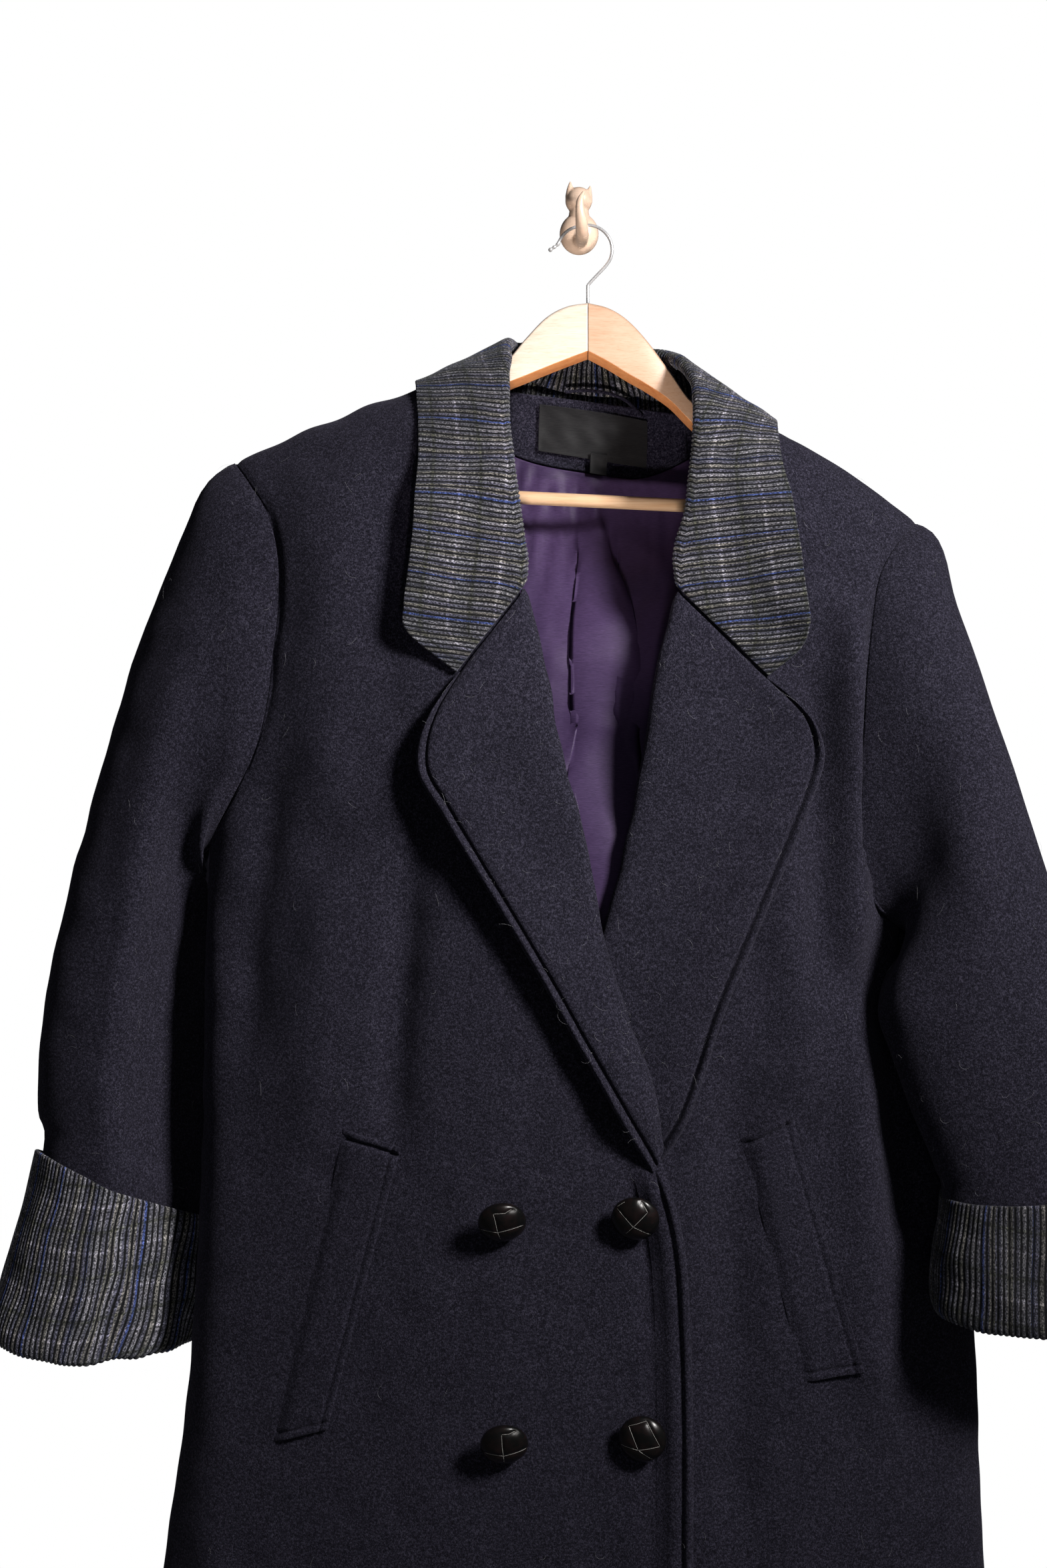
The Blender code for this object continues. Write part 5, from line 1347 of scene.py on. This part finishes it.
# Pocket welts, and the pieces inside the neck
def welt(name, side, corners):
    grid, _, _ = finer(welt_grid(side, corners), (FREE, FREE, FREE, FREE), 0.005)
    edges = [*ends_of(grid, 0), *ends_of(grid, 1)]
    inner = edges[2 if side > 0 else 3]
    outer = edges[3 if side > 0 else 2]
    lift = groove(edges[0], 0.0058, 0.0015, 0.0030) + groove(edges[1], 0.0058, 0.0013, 0.0014)
    lift = lift + groove(outer, 0.0058, 0.0012, 0.0010) - 0.0032 * np.exp(-((inner / 0.006) ** 2))
    lift = lift + folded(grid, FRONT_FOLDS[side])
    cut = round_off(np.minimum.reduce([edges[0], edges[1], inner, outer]), WOOL / 2)
    item, _ = cloth(name + "_dressed", [name], grid, (0, -1, 0), WOOL, WOOL_PAINT, "wool", lift, cut)


def neck_pieces():
    def low_edge(x):
        return table(FACING_LOW, 1, x)

    grid, _, _ = finer(
        inside_grid(-0.052, 0.076, 12, 5, lambda x: neck_seam(x) - 0.0006, low_edge, INSIDE),
        (SEWN, FREE, BARE, BARE), 0.004,
    )
    _, from_low = ends_of(grid, 0)
    lift = groove(from_low, 0.004, 0.0015, 0.0006) + 0.0004 * waves(grid, 0.025, 31)
    item, _ = cloth(
        "neck_facing_dressed", ["neck_facing"], grid, (0, -1, 0), WOOL, WOOL_PAINT, "wool", lift,
        round_off(from_low, WOOL / 2),
    )
    grid, _, _ = finer(
        inside_grid(
            -0.085, 0.108, 15, 11, lambda x: low_edge(np.clip(x, -0.06, 0.09)) - 0.0010,
            lambda x: -0.62 + 0 * x, 0, pleat,
        ),
        (SEWN, SEWN, BARE, BARE), 0.0030,
    )
    from_top, _ = ends_of(grid, 0)
    soft = 0
    for size, high, seed in ((0.040, 0.0030, 37), (0.019, 0.0022, 41), (0.010, 0.0010, 43)):
        stretched = grid * np.array([1.0, 0.0, 0.16])
        soft = soft + high * (1 - np.abs(waves(stretched, size, seed))) ** 2
    from_pleat = grid[..., 0] - table(PLEAT_LINE, 1, -grid[..., 2])
    soft = soft + 0.0060 * ease(0.5 - from_pleat / 0.0012) * np.exp(np.minimum(from_pleat, 0) / 0.020)
    soft = soft + groove(from_pleat, 0.0012, 0.0016, 0.0040)
    tucks = 0.0010 * np.sin(grid[..., 0] * 2 * np.pi / 0.017 + 2 * waves(grid, 0.05, 47))
    tucks = tucks * np.exp(-from_top / 0.03)
    lift = (soft - 0.0008) * ease(from_top / 0.02) + tucks * ease(from_top / 0.004)
    lift = lift + LINING_FORWARD * ease((-0.205 - grid[..., 2]) / 0.125)
    lift = lift + 0.018 * ease((-0.37 - grid[..., 2]) / 0.10)
    item, _ = cloth("lining_dressed", ["lining_back"], grid, (0, -1, 0), SATIN, SATIN_PAINT, "satin", lift)
    for name, corners, off, step, flat in (
        ("neck_label", LABEL, INSIDE + 0.0022, 0.0018, (0.08, 0.037)),
        ("size_tab", TAB, INSIDE + 0.0042, 0.0012, (0.013, 0.017)),
    ):
        grid, _, _ = finer(behind(*patch(corners, 7, 4), off), (FREE[:4], FREE[:4], FREE[:4], FREE[:4]), step)
        rim = np.minimum.reduce([*ends_of(grid, 0), *ends_of(grid, 1)])
        lift = 0.0005 * waves(grid, 0.014, 53) * ease(rim / 0.006) + 0.0004 * np.exp(-((rim / 0.0016) ** 2))
        item, _ = cloth(name + "_dressed", [name], grid, (0, -1, 0), 0.0008, LABEL_PAINT, "label_cloth", lift)


LINING_FORWARD = 0.066
# The lining's pleat: depth below the hook and x
PLEAT_LINE = np.array([
    (0.188, 0.0096), (0.209, 0.0134), (0.231, 0.0158), (0.279, 0.0210), (0.315, 0.0267),
    (0.351, 0.0300), (0.411, 0.0238), (0.460, 0.0191), (0.620, 0.0150),
])
LABEL = ((-0.0291, -0.1355), (0.0485, -0.1480), (0.0470, -0.1835), (-0.0296, -0.1712))
TAB = ((0.0074, -0.1730), (0.0192, -0.1748), (0.0186, -0.1892), (0.0068, -0.1872))


# Tubes and turned shapes
def smooth_path(path, steps):
    """Points of a smooth curve through a few, and the same for any sizes beside them."""
    path = np.asarray(path, float)
    at = np.linspace(0, len(path) - 1, steps)
    return surface(np.stack([path, path], 1), at, 0 * at)


def tube(name, path, radii, around, paint, slot, nodes=(), squash=1.0, cap=0.5):
    """A round bar along a path, with domed ends."""
    path = np.asarray(path, float)
    radii = np.broadcast_to(np.asarray(radii, float), len(path))
    along = unit(np.gradient(path, axis=0))
    dome = np.radians([75, 55, 35, 15])
    head = [path[0] - along[0] * radii[0] * cap * np.sin(a) for a in dome]
    tail = [path[-1] + along[-1] * radii[-1] * cap * np.sin(a) for a in dome[::-1]]
    path = np.concatenate([head, path, tail])
    radii = np.concatenate([radii[0] * np.cos(dome), radii, radii[-1] * np.cos(dome[::-1])])
    along = np.concatenate([[along[0]] * len(dome), along, [along[-1]] * len(dome)])
    first = unit(np.cross(along[0], (0, 1, 0) if abs(along[0][1]) < 0.9 else (1, 0, 0)))
    turn = 2 * np.pi * np.arange(around) / around
    points = []
    for p, t, r in zip(path, along, radii):
        first = unit(first - t * (first @ t))
        second = np.cross(t, first)
        points.append(p + r * (np.cos(turn)[:, None] * first + squash * np.sin(turn)[:, None] * second))
    return turned(name, np.array(points), paint, slot, nodes)


def turned(name, rings, paint, slot, nodes=()):
    """A closed body through rings of points."""
    count, around = rings.shape[:2]
    number = np.arange(count * around).reshape(count, around)
    number = np.concatenate([number, number[:, :1]], 1)
    faces = np.stack([number[:-1, :-1], number[:-1, 1:], number[1:, 1:], number[1:, :-1]], -1).reshape(-1, 4)
    points = rings.reshape(-1, 3)
    ends = [tuple(range(around))[::-1], tuple(range((count - 1) * around, count * around))]
    faces = [tuple(face) for face in faces.tolist()] + ends
    item = mesh_of(name, points, faces)
    form = bmesh.new()
    form.from_mesh(item.data)
    bmesh.ops.recalc_face_normals(form, faces=form.faces)
    form.to_mesh(item.data)
    form.free()
    item.data.materials.append(paint)
    own(item, slot, *nodes)
    return item


def ball(name, middle, radius, paint, slot):
    rings = np.radians(np.linspace(6, 174, 14))
    turn = 2 * np.pi * np.arange(20) / 20
    rim = np.stack([np.cos(turn), 0 * turn, np.sin(turn)], -1)
    points = [np.array(middle) + radius * (np.sin(a) * rim + np.array([0, np.cos(a), 0])) for a in rings]
    return turned(name, np.array(points), paint, slot)


# Buttons: leather domes with crossing seams, stitched in a pale thread
BUTTONS = (
    (-0.0541, -0.6935, 0.0125, 34, 4), (0.0334, -0.6917, 0.0105, 24, -8),
    (-0.0527, -0.8394, 0.0115, 30, 3), (0.0382, -0.8367, 0.0085, 12, -10),
)
# The seams of each button, as shares of its radius: rightward and up
BUTTON_SEAMS = (
    (
        ((-0.38, 0.51), (-0.28, 0.10), (-0.17, -0.48)), ((-0.95, -0.36), (-0.17, -0.50), (0.90, -0.15)),
        ((-0.17, -0.48), (-0.03, -0.90)), ((-0.38, 0.51), (0.10, 0.55), (0.45, 0.80)),
    ),
    (
        ((-0.78, 0.54), (-0.13, -0.33), (0.50, 0.36)), ((0.50, 0.36), (0.25, 0.90)),
        ((-0.78, 0.54), (-0.33, 0.92)), ((-0.13, -0.33), (0.60, -0.75)), ((-0.13, -0.33), (-0.45, -0.70)),
    ),
    (
        ((-0.12, 0.62), (-0.08, 0.0), (0.03, -0.93)), ((-0.92, -0.36), (0.0, -0.50), (0.94, -0.20)),
        ((-0.12, 0.62), (0.20, 0.65), (0.50, 0.80)),
    ),
    (
        ((-0.58, 0.61), (-0.22, -0.40)), ((-0.22, -0.40), (0.70, -0.23)), ((-0.58, 0.61), (0.17, 0.85)),
        ((0.17, 0.85), (0.70, -0.23)), ((-0.22, -0.40), (0.40, -0.88)), ((-0.95, -0.24), (-0.22, -0.40)),
    ),
)
DOME = np.array([
    (0.0, 0.0070, -0.0036), (1.0, 0.0125, -0.0031), (2.0, 0.0150, -0.0016), (3.0, 0.0158, 0.0004),
    (4.0, 0.0150, 0.0026), (5.0, 0.0118, 0.0056), (6.0, 0.0066, 0.0078), (7.0, 0.0002, 0.0086),
])
def seam_lines(number, down, aside):
    """The seams of one button as fine lines in its own plane, placed as they look from the front."""
    lines = []
    for corners in BUTTON_SEAMS[number - 1]:
        corners = np.array(corners) * DOME[:, 1].max()
        reach = lengths(corners[:, None], 0)[:, 0]
        at = np.linspace(0, reach[-1], 30)
        seen = np.stack([np.interp(at, reach, corners[:, 0]), np.interp(at, reach, corners[:, 1])], -1)
        line = seen
        for _ in range(6):
            line = seen + dome_at(line)[:, None] * np.tan(np.radians([-aside, down]))
        lines.append(line)
    return lines


def dome_at(flat):
    """Height of the dome over a flat point, its lip and below it included."""
    r = np.linalg.norm(flat, axis=-1)
    return np.interp(r, DOME[:2:-1, 1], DOME[:2:-1, 2])


def button(number, x, z, stand, down, aside):
    level = np.linspace(0, 7, 40)
    turn = 2 * np.pi * np.arange(72) / 72
    rings = np.stack([table(DOME, 1, level), table(DOME, 2, level)], -1)
    flat = rings[:, 0, None, None] * np.stack([np.cos(turn), np.sin(turn)], -1)[None]
    near = np.full(flat.shape[:2], 1.0)
    seams = seam_lines(number, down, aside)
    for line in seams:
        for p in line:
            near = np.minimum(near, np.linalg.norm(flat - p, axis=-1))
    up = (level > 2.6)[:, None]
    sink = 0.0006 * np.exp(-((near / 0.0008) ** 2)) * up
    puff = 0.0005 * (1 - np.exp(-((near / 0.0025) ** 2))) * up
    points = np.concatenate([flat, (rings[:, 1, None] - sink + puff)[..., None]], -1)
    axis = unit(np.array([np.tan(np.radians(aside)), -1, -np.tan(np.radians(down))]))
    right = unit(np.cross((0, 0, 1), axis))
    top = np.cross(axis, right)
    middle = np.array([x, float(front_y(np.array(x), np.array(z), -1)) - stand, z])
    frame_of = np.stack([right, top, axis])
    points = points @ frame_of + middle
    turned(f"button_{number}_dressed", points, LEATHER_PAINT, "button_leather", [f"button_{number}"])
    foot = np.array([x, middle[1] + stand - 0.0004, z + 0.001])
    shank = np.linspace(foot, middle + axis * -0.002, 6)
    tube(f"button_{number}_shank", shank, 0.0021, 12, LEATHER_PAINT, "button_leather")
    threads = []
    for line in seams:
        inside = np.linalg.norm(line, axis=-1) < 0.0152
        line = line[inside]
        height = dome_at(line) - 0.00015
        threads.append(np.concatenate([line, height[:, None]], -1) @ frame_of + middle)
    strands(f"button_{number}_thread", threads, 0.00016, THREAD_PAINT, "button_leather")


def strands(name, paths, thin, paint, slot):
    """Many fine threads as one mesh, each three-sided and pointed at its ends."""
    points = []
    faces = []
    start = 0
    turn = 2 * np.pi * np.arange(3) / 3
    for path in paths:
        along = unit(np.gradient(path, axis=0))
        first = unit(np.cross(along, (0.3, 0.2, 0.93)))
        second = np.cross(along, first)
        size = thin * np.minimum(1, np.minimum(np.arange(len(path)), np.arange(len(path))[::-1]) * 0.6 + 0.15)
        ring = path[:, None] + size[:, None, None] * (
            np.cos(turn)[None, :, None] * first[:, None] + np.sin(turn)[None, :, None] * second[:, None]
        )
        points.append(ring.reshape(-1, 3))
        for i in range(len(path) - 1):
            for k in range(3):
                n = (k + 1) % 3
                a = start + i * 3
                faces.append((a + k, a + n, a + 3 + n, a + 3 + k))
        faces.append((start + 2, start + 1, start))
        last = start + (len(path) - 1) * 3
        faces.append((last, last + 1, last + 2))
        start += len(path) * 3
    item = mesh_of(name, np.concatenate(points), faces)
    item.data.materials.append(paint)
    own(item, slot)
    return item


# The hanger. Arms: x, top z, bottom z, y
ARM_WOOD_RIGHT = np.array([
    (0.0046, -0.0715, -0.1065, -0.0450), (-0.0100, -0.0740, -0.1120, -0.0450),
    (-0.0240, -0.0815, -0.1175, -0.0450), (-0.0380, -0.0960, -0.1232, -0.0455),
    (-0.0520, -0.1125, -0.1290, -0.0460), (-0.0680, -0.1245, -0.1390, -0.0465),
    (-0.1000, -0.1375, -0.1590, -0.0480), (-0.1430, -0.1525, -0.1790, -0.0510),
    (-0.1800, -0.1665, -0.2060, -0.0540), (-0.2050, -0.1785, -0.2130, -0.0560),
    (-0.2140, -0.1860, -0.2080, -0.0565),
])
ARM_WOOD_LEFT = np.array([
    (0.0050, -0.0715, -0.1065, -0.0450), (0.0190, -0.0750, -0.1140, -0.0450),
    (0.0320, -0.0830, -0.1220, -0.0450), (0.0460, -0.0980, -0.1300, -0.0455),
    (0.0620, -0.1200, -0.1410, -0.0460), (0.0780, -0.1415, -0.1570, -0.0465),
    (0.1000, -0.1520, -0.1750, -0.0480), (0.1400, -0.1720, -0.2000, -0.0510),
    (0.1750, -0.1950, -0.2320, -0.0540), (0.1990, -0.2110, -0.2430, -0.0560),
    (0.2080, -0.2190, -0.2400, -0.0565),
])
LEAN = 0.16
HALF_WOOD = 0.0061
UNDERSIDE = 0.0040


def arm(name, node, rows, paint):
    """A flat arm with softly rounded edges, a little sharper along its lower front edge."""
    keys = np.column_stack([np.arange(len(rows)), rows])
    at = np.concatenate([
        np.linspace(0, 0.15, 4)[:-1], np.linspace(0.15, len(rows) - 1.15, 70), [len(rows) - 1],
    ])
    quarter = np.radians(np.linspace(0, 90, 6))
    outline = []
    corners = ((1, 1, 0.0026, 0), (-1, 1, 0.0026, 90), (-1, -1, 0.0010, 180), (1, -1, 0.0010, 270))
    for sx, sz, soft, turn in corners:
        for a in quarter + np.radians(turn):
            outline.append((sx, sz, soft, np.cos(a), np.sin(a)))
    rings = []
    for t in at:
        x, top, low, y = (float(table(keys, c, t)) for c in range(1, 5))
        ring = []
        for sx, sz, soft, ca, sa in outline:
            half = (top - low) / 2
            across = sx * (HALF_WOOD - soft) + soft * ca
            level = sz * (half - soft) + soft * sa - (UNDERSIDE if sx > 0 > sz else 0)
            ring.append((x, y + across + level * LEAN, (top + low) / 2 + level))
        rings.append(ring)
    item = turned(name, np.array(rings), paint, "arm_wood", [node])
    # Faces that look down take the underside wood: painted shade tinted by painted warm bounce light
    item.data.materials.append(UNDERSIDE_PAINTED_SHADE)
    for face in item.data.polygons:
        if face.normal.z < -0.45:
            face.material_index = 1


def hanger():
    # The arm on the viewer's left takes the wood with painted light, and the arm on the viewer's right takes
    # the wood with painted shade
    arm("hanger_arm_right_dressed", "hanger_arm_right", ARM_WOOD_RIGHT, ARM_WOOD_PAINTED_LIGHT)
    arm("hanger_arm_left_dressed", "hanger_arm_left", ARM_WOOD_LEFT, ARM_WOOD_PAINTED_SHADE)
    ends = np.array([(-0.1924, -0.0550, -0.2010), (0.1874, -0.0550, -0.2195)])
    tube("hanger_bar_dressed", np.linspace(*ends, 12), 0.0046, 48, BAR_WOOD, "bar_wood", ["hanger_bar"])


# The wire hook, x and z of its middle line, and the cat
WIRE = 0.0011
WIRE_Y = -0.0410
WIRE_PATH = (
    (0.0050, -0.0708), (0.0050, -0.0591), (0.0057, -0.0573), (0.0117, -0.0508), (0.0173, -0.0449),
    (0.0204, -0.0403), (0.0217, -0.0361), (0.0219, -0.0318), (0.0208, -0.0270), (0.0184, -0.0228),
    (0.0148, -0.0193), (0.0104, -0.0170), (0.0058, -0.0161), (0.0009, -0.0164), (-0.0040, -0.0175),
    (-0.0084, -0.0195), (-0.0118, -0.0225), (-0.0142, -0.0259), (-0.0161, -0.0295), (-0.0186, -0.0315),
    (-0.0212, -0.0333),
)


def wire_hook():
    """The wire, waisted near its end, and the bead on its tip."""
    points = smooth_path([(x, WIRE_Y, z) for x, z in WIRE_PATH], 160)
    sizes = np.array([1, 1, 1.25, 0.8, 1.2, 0.75, 0.9]) * WIRE
    radii = np.interp(np.arange(160), [0, 138, 143, 147, 151, 155, 159], sizes)
    tube("hanger_hook_dressed", points, radii, 24, CHROME_PAINT, "wire_metal", ["hanger_hook"])
    ball("hook_ball", points[-1], 0.0015, CHROME_PAINT, "wire_metal")


def sphere(form, middle, radii):
    move = Matrix.Translation(middle) @ Matrix.Diagonal((*radii, 1))
    bmesh.ops.create_uvsphere(form, u_segments=48, v_segments=28, radius=1, matrix=move)


def cone_path(form, path, radii, around=20):
    """Adds a closed bar of changing size to a form."""
    path = smooth_path(path, 8 * len(path))
    radii = np.interp(np.linspace(0, len(radii) - 1, len(path)), np.arange(len(radii)), radii)
    along = unit(np.gradient(path, axis=0))
    first = unit(np.cross(along[0], (1, 0.1, 0)))
    turn = 2 * np.pi * np.arange(around) / around
    before = None
    for p, t, r in zip(path, along, radii):
        first = unit(first - t * (first @ t))
        second = np.cross(t, first)
        ring = [form.verts.new(p + r * (np.cos(a) * first + np.sin(a) * second)) for a in turn]
        if before:
            for k in range(around):
                n = (k + 1) % around
                form.faces.new((before[k], before[n], ring[n], ring[k]))
        else:
            form.faces.new(ring[::-1])
        before = ring
    form.faces.new(before)


def wall_hook():
    """A sitting cat from behind, melted into one casting, its tail the peg."""
    form = bmesh.new()
    sphere(form, (-0.0002, -0.0010, -0.0132), (0.0140, 0.0120, 0.0149))
    sphere(form, (-0.0003, -0.0010, -0.0010), (0.0074, 0.0100, 0.0110))
    sphere(form, (-0.0005, -0.0020, 0.0105), (0.0096, 0.0115, 0.0096))
    for x, z, lean in ((-0.0068, 0.0160, 0.0002), (0.0058, 0.0128, 0.0020)):
        path = [
            (x, -0.0045, z - 0.004), (x + lean * 0.4, -0.0045, z + 0.002),
            (x + lean, -0.0045, z + 0.0080),
        ]
        cone_path(form, path, (0.0036, 0.0026, 0.0006))
    tail = [
        (0.0003, -0.0060, -0.0182), (0.0006, -0.0180, -0.0216), (0.0010, -0.0320, -0.0228),
        (0.0010, -0.0440, -0.0226), (0.0004, -0.0528, -0.0178), (-0.0008, -0.0566, -0.0100),
        (-0.0006, -0.0562, -0.0022), (0.0020, -0.0545, 0.0046),
    ]
    cone_path(form, tail, (0.0056, 0.0050, 0.0047, 0.0047, 0.0043, 0.0033, 0.0026, 0.0010))
    mesh = bpy.data.meshes.new("cat_parts")
    form.to_mesh(mesh)
    form.free()
    parts = bpy.data.objects.new("cat_parts", mesh)
    bpy.context.scene.collection.objects.link(parts)
    melt_into = parts.modifiers.new("melt", "REMESH")
    melt_into.mode = "VOXEL"
    melt_into.voxel_size = 0.00065
    soften = parts.modifiers.new("soften", "SMOOTH")
    soften.factor = 0.5
    soften.iterations = 10
    bpy.context.view_layer.update()
    whole = bpy.data.meshes.new_from_object(parts.evaluated_get(bpy.context.evaluated_depsgraph_get()))
    bpy.data.objects.remove(parts, do_unlink=True)
    form = bmesh.new()
    form.from_mesh(whole)
    everything = form.verts[:] + form.edges[:] + form.faces[:]
    cut = bmesh.ops.bisect_plane(
        form, geom=everything, plane_co=(0, 0, 0), plane_no=(0, 1, 0), clear_outer=True,
    )
    rim = [edge for edge in cut["geom_cut"] if isinstance(edge, bmesh.types.BMEdge)]
    bmesh.ops.holes_fill(form, edges=rim)
    form.to_mesh(whole)
    form.free()
    whole.polygons.foreach_set("use_smooth", np.ones(len(whole.polygons), bool))
    item = bpy.data.objects.new("wall_hook_dressed", whole)
    bpy.context.scene.collection.objects.link(item)
    whole.materials.clear()
    whole.materials.append(COPPER_PAINT)
    own(item, "hook_metal", "wall_hook")


def hang_loop():
    path = [(-0.0100, -0.1300), (0.0040, -0.1290), (0.0200, -0.1310), (0.0330, -0.1365), (0.0440, -0.1470)]
    points = smooth_path([(x, -0.0240, z) for x, z in path], 60)
    tube("hang_loop_dressed", points, 0.0012, 12, WOOL_PAINT, "loop_cord", ["hang_loop"])


# Pale hairs and lint caught on the wool, on the front of the coat only and above its hem
LINT_IN_FRONT_OF = -0.02
LINT_ABOVE = -1.28


def lint(name, surfaces, count, seed):
    pick = np.random.default_rng(seed)
    hairs = []
    for outer in surfaces:
        rows, cols = outer.shape[:2]
        for _ in range(count):
            i = pick.integers(2, rows - 4)
            j = pick.integers(2, cols - 4)
            corner = outer[i, j]
            over = unit(outer[i, j + 1] - corner)
            down = unit(outer[i + 1, j] - corner)
            up = unit(np.cross(over, down))
            up = up * -np.sign(up[1])
            turn = pick.uniform(0, 2 * np.pi)
            long = pick.uniform(0.004, 0.013)
            bend = pick.uniform(-3.5, 3.5)
            s = np.linspace(0, 1, 9)
            way = turn + bend * s
            step = long / 8
            flat = np.cumsum(np.stack([np.cos(way), np.sin(way)], -1) * step, 0)
            high = 0.0004 + pick.uniform(0, 0.0012) * np.sin(np.pi * s * pick.uniform(0.5, 1))
            hair = corner + flat[:, :1] * over + flat[:, 1:] * down + high[:, None] * up
            if hair[:, 1].max() < LINT_IN_FRONT_OF and hair[:, 2].min() > LINT_ABOVE:
                hairs.append(hair)
    strands(name, hairs, 0.00004, LINT_PAINT, "wool")


shown = [front("front_right", -1, OPEN_RIGHT, 16, (0.40, 1.17), 0.365)]
shown.append(front("front_left", 1, OPEN_LEFT, 15, (0.38, 1.14), 0.334))
back()
shown.append(sleeve("sleeve_right", -1))
shown.append(sleeve("sleeve_left", 1))
cuff("cuff_right", -1)
cuff("cuff_left", 1)
shown.append(lapel("lapel_right", -1, LAPEL_RIGHT))
shown.append(lapel("lapel_left", 1, LAPEL_LEFT))
collar()
welt("pocket_welt_right", -1, WELT_RIGHT)
welt("pocket_welt_left", 1, WELT_LEFT)
neck_pieces()
hang_loop()
for number, place in enumerate(BUTTONS, 1):
    button(number, *place)
hanger()
wire_hook()
wall_hook()
lint("wool_lint", shown, 90, 71)


# The camera, the light and the floor
lens = bpy.data.cameras.new("camera")
lens.sensor_fit = "VERTICAL"
lens.sensor_height = 36
lens.sensor_width = 36
lens.lens = LENS
lens.clip_start = 0.05
camera = bpy.data.objects.new("camera", lens)
camera.location = CAMERA_AT
camera.rotation_euler = (np.pi / 2, 0, 0)
bpy.context.scene.collection.objects.link(camera)
bpy.context.scene.camera = camera


def lamp(name, place, aim, size, power, colour, mirrored=True, spread=180):
    data = bpy.data.lights.new(name, "AREA")
    data.shape = "RECTANGLE"
    data.size, data.size_y = size
    data.energy = power
    data.color = colour
    item = bpy.data.objects.new(name, data)
    item.location = place
    item.visible_camera = False
    item.visible_glossy = mirrored
    data.spread = np.radians(spread)
    way = Vector(aim) - Vector(place)
    item.rotation_euler = way.to_track_quat("-Z", "Y").to_euler()
    bpy.context.scene.collection.objects.link(item)


lamp("key", (1.16, -1.38, 0.52), (-0.10, -0.1, -0.36), (0.40, 0.40), 9.8, (1.0, 0.975, 0.955), True, 62)
lamp("fill", (-0.2, -2.6, -0.2), (0.0, -0.1, -0.5), (1.2, 1.2), 3.2, (0.95, 0.97, 1.0), False)
lamp("bounce", (-0.02, -0.70, -0.66), (0.0, -0.06, -0.13), (0.06, 0.06), 0.16, (1.0, 0.90, 0.82), False, 26)
lamp("behind", (0.0, 2.3, -0.40), (0.0, 0.0, -0.55), (1.0, 1.0), 34, (0.97, 0.98, 1.0), False)

world = bpy.data.worlds.new("white")
world.use_nodes = True
bpy.context.scene.world = world
tree = world.node_tree
seen = tree.nodes.new("ShaderNodeLightPath").outputs["Is Camera Ray"]
bright = maths(tree, "ADD", maths(tree, "MULTIPLY", seen, 0.96), 0.04)
put(tree, tree.nodes["Background"].inputs["Color"], (1, 1, 1, 1))
put(tree, tree.nodes["Background"].inputs["Strength"], bright)

FLOOR = np.array([(-2, -2.5, -1.5), (2, -2.5, -1.5), (2, 0.6, -1.5), (-2, 0.6, -1.5)], float)
ground = mesh_of("floor", FLOOR, [(0, 1, 2, 3)])
pale, _, pale_shader = tree_of("pale_floor", 0.8)
pale_shader.inputs["Base Color"].default_value = (0.8, 0.8, 0.8, 1)
ground.data.materials.append(pale)
ground.visible_glossy = False
bpy.context.scene.view_settings.view_transform = "Standard"
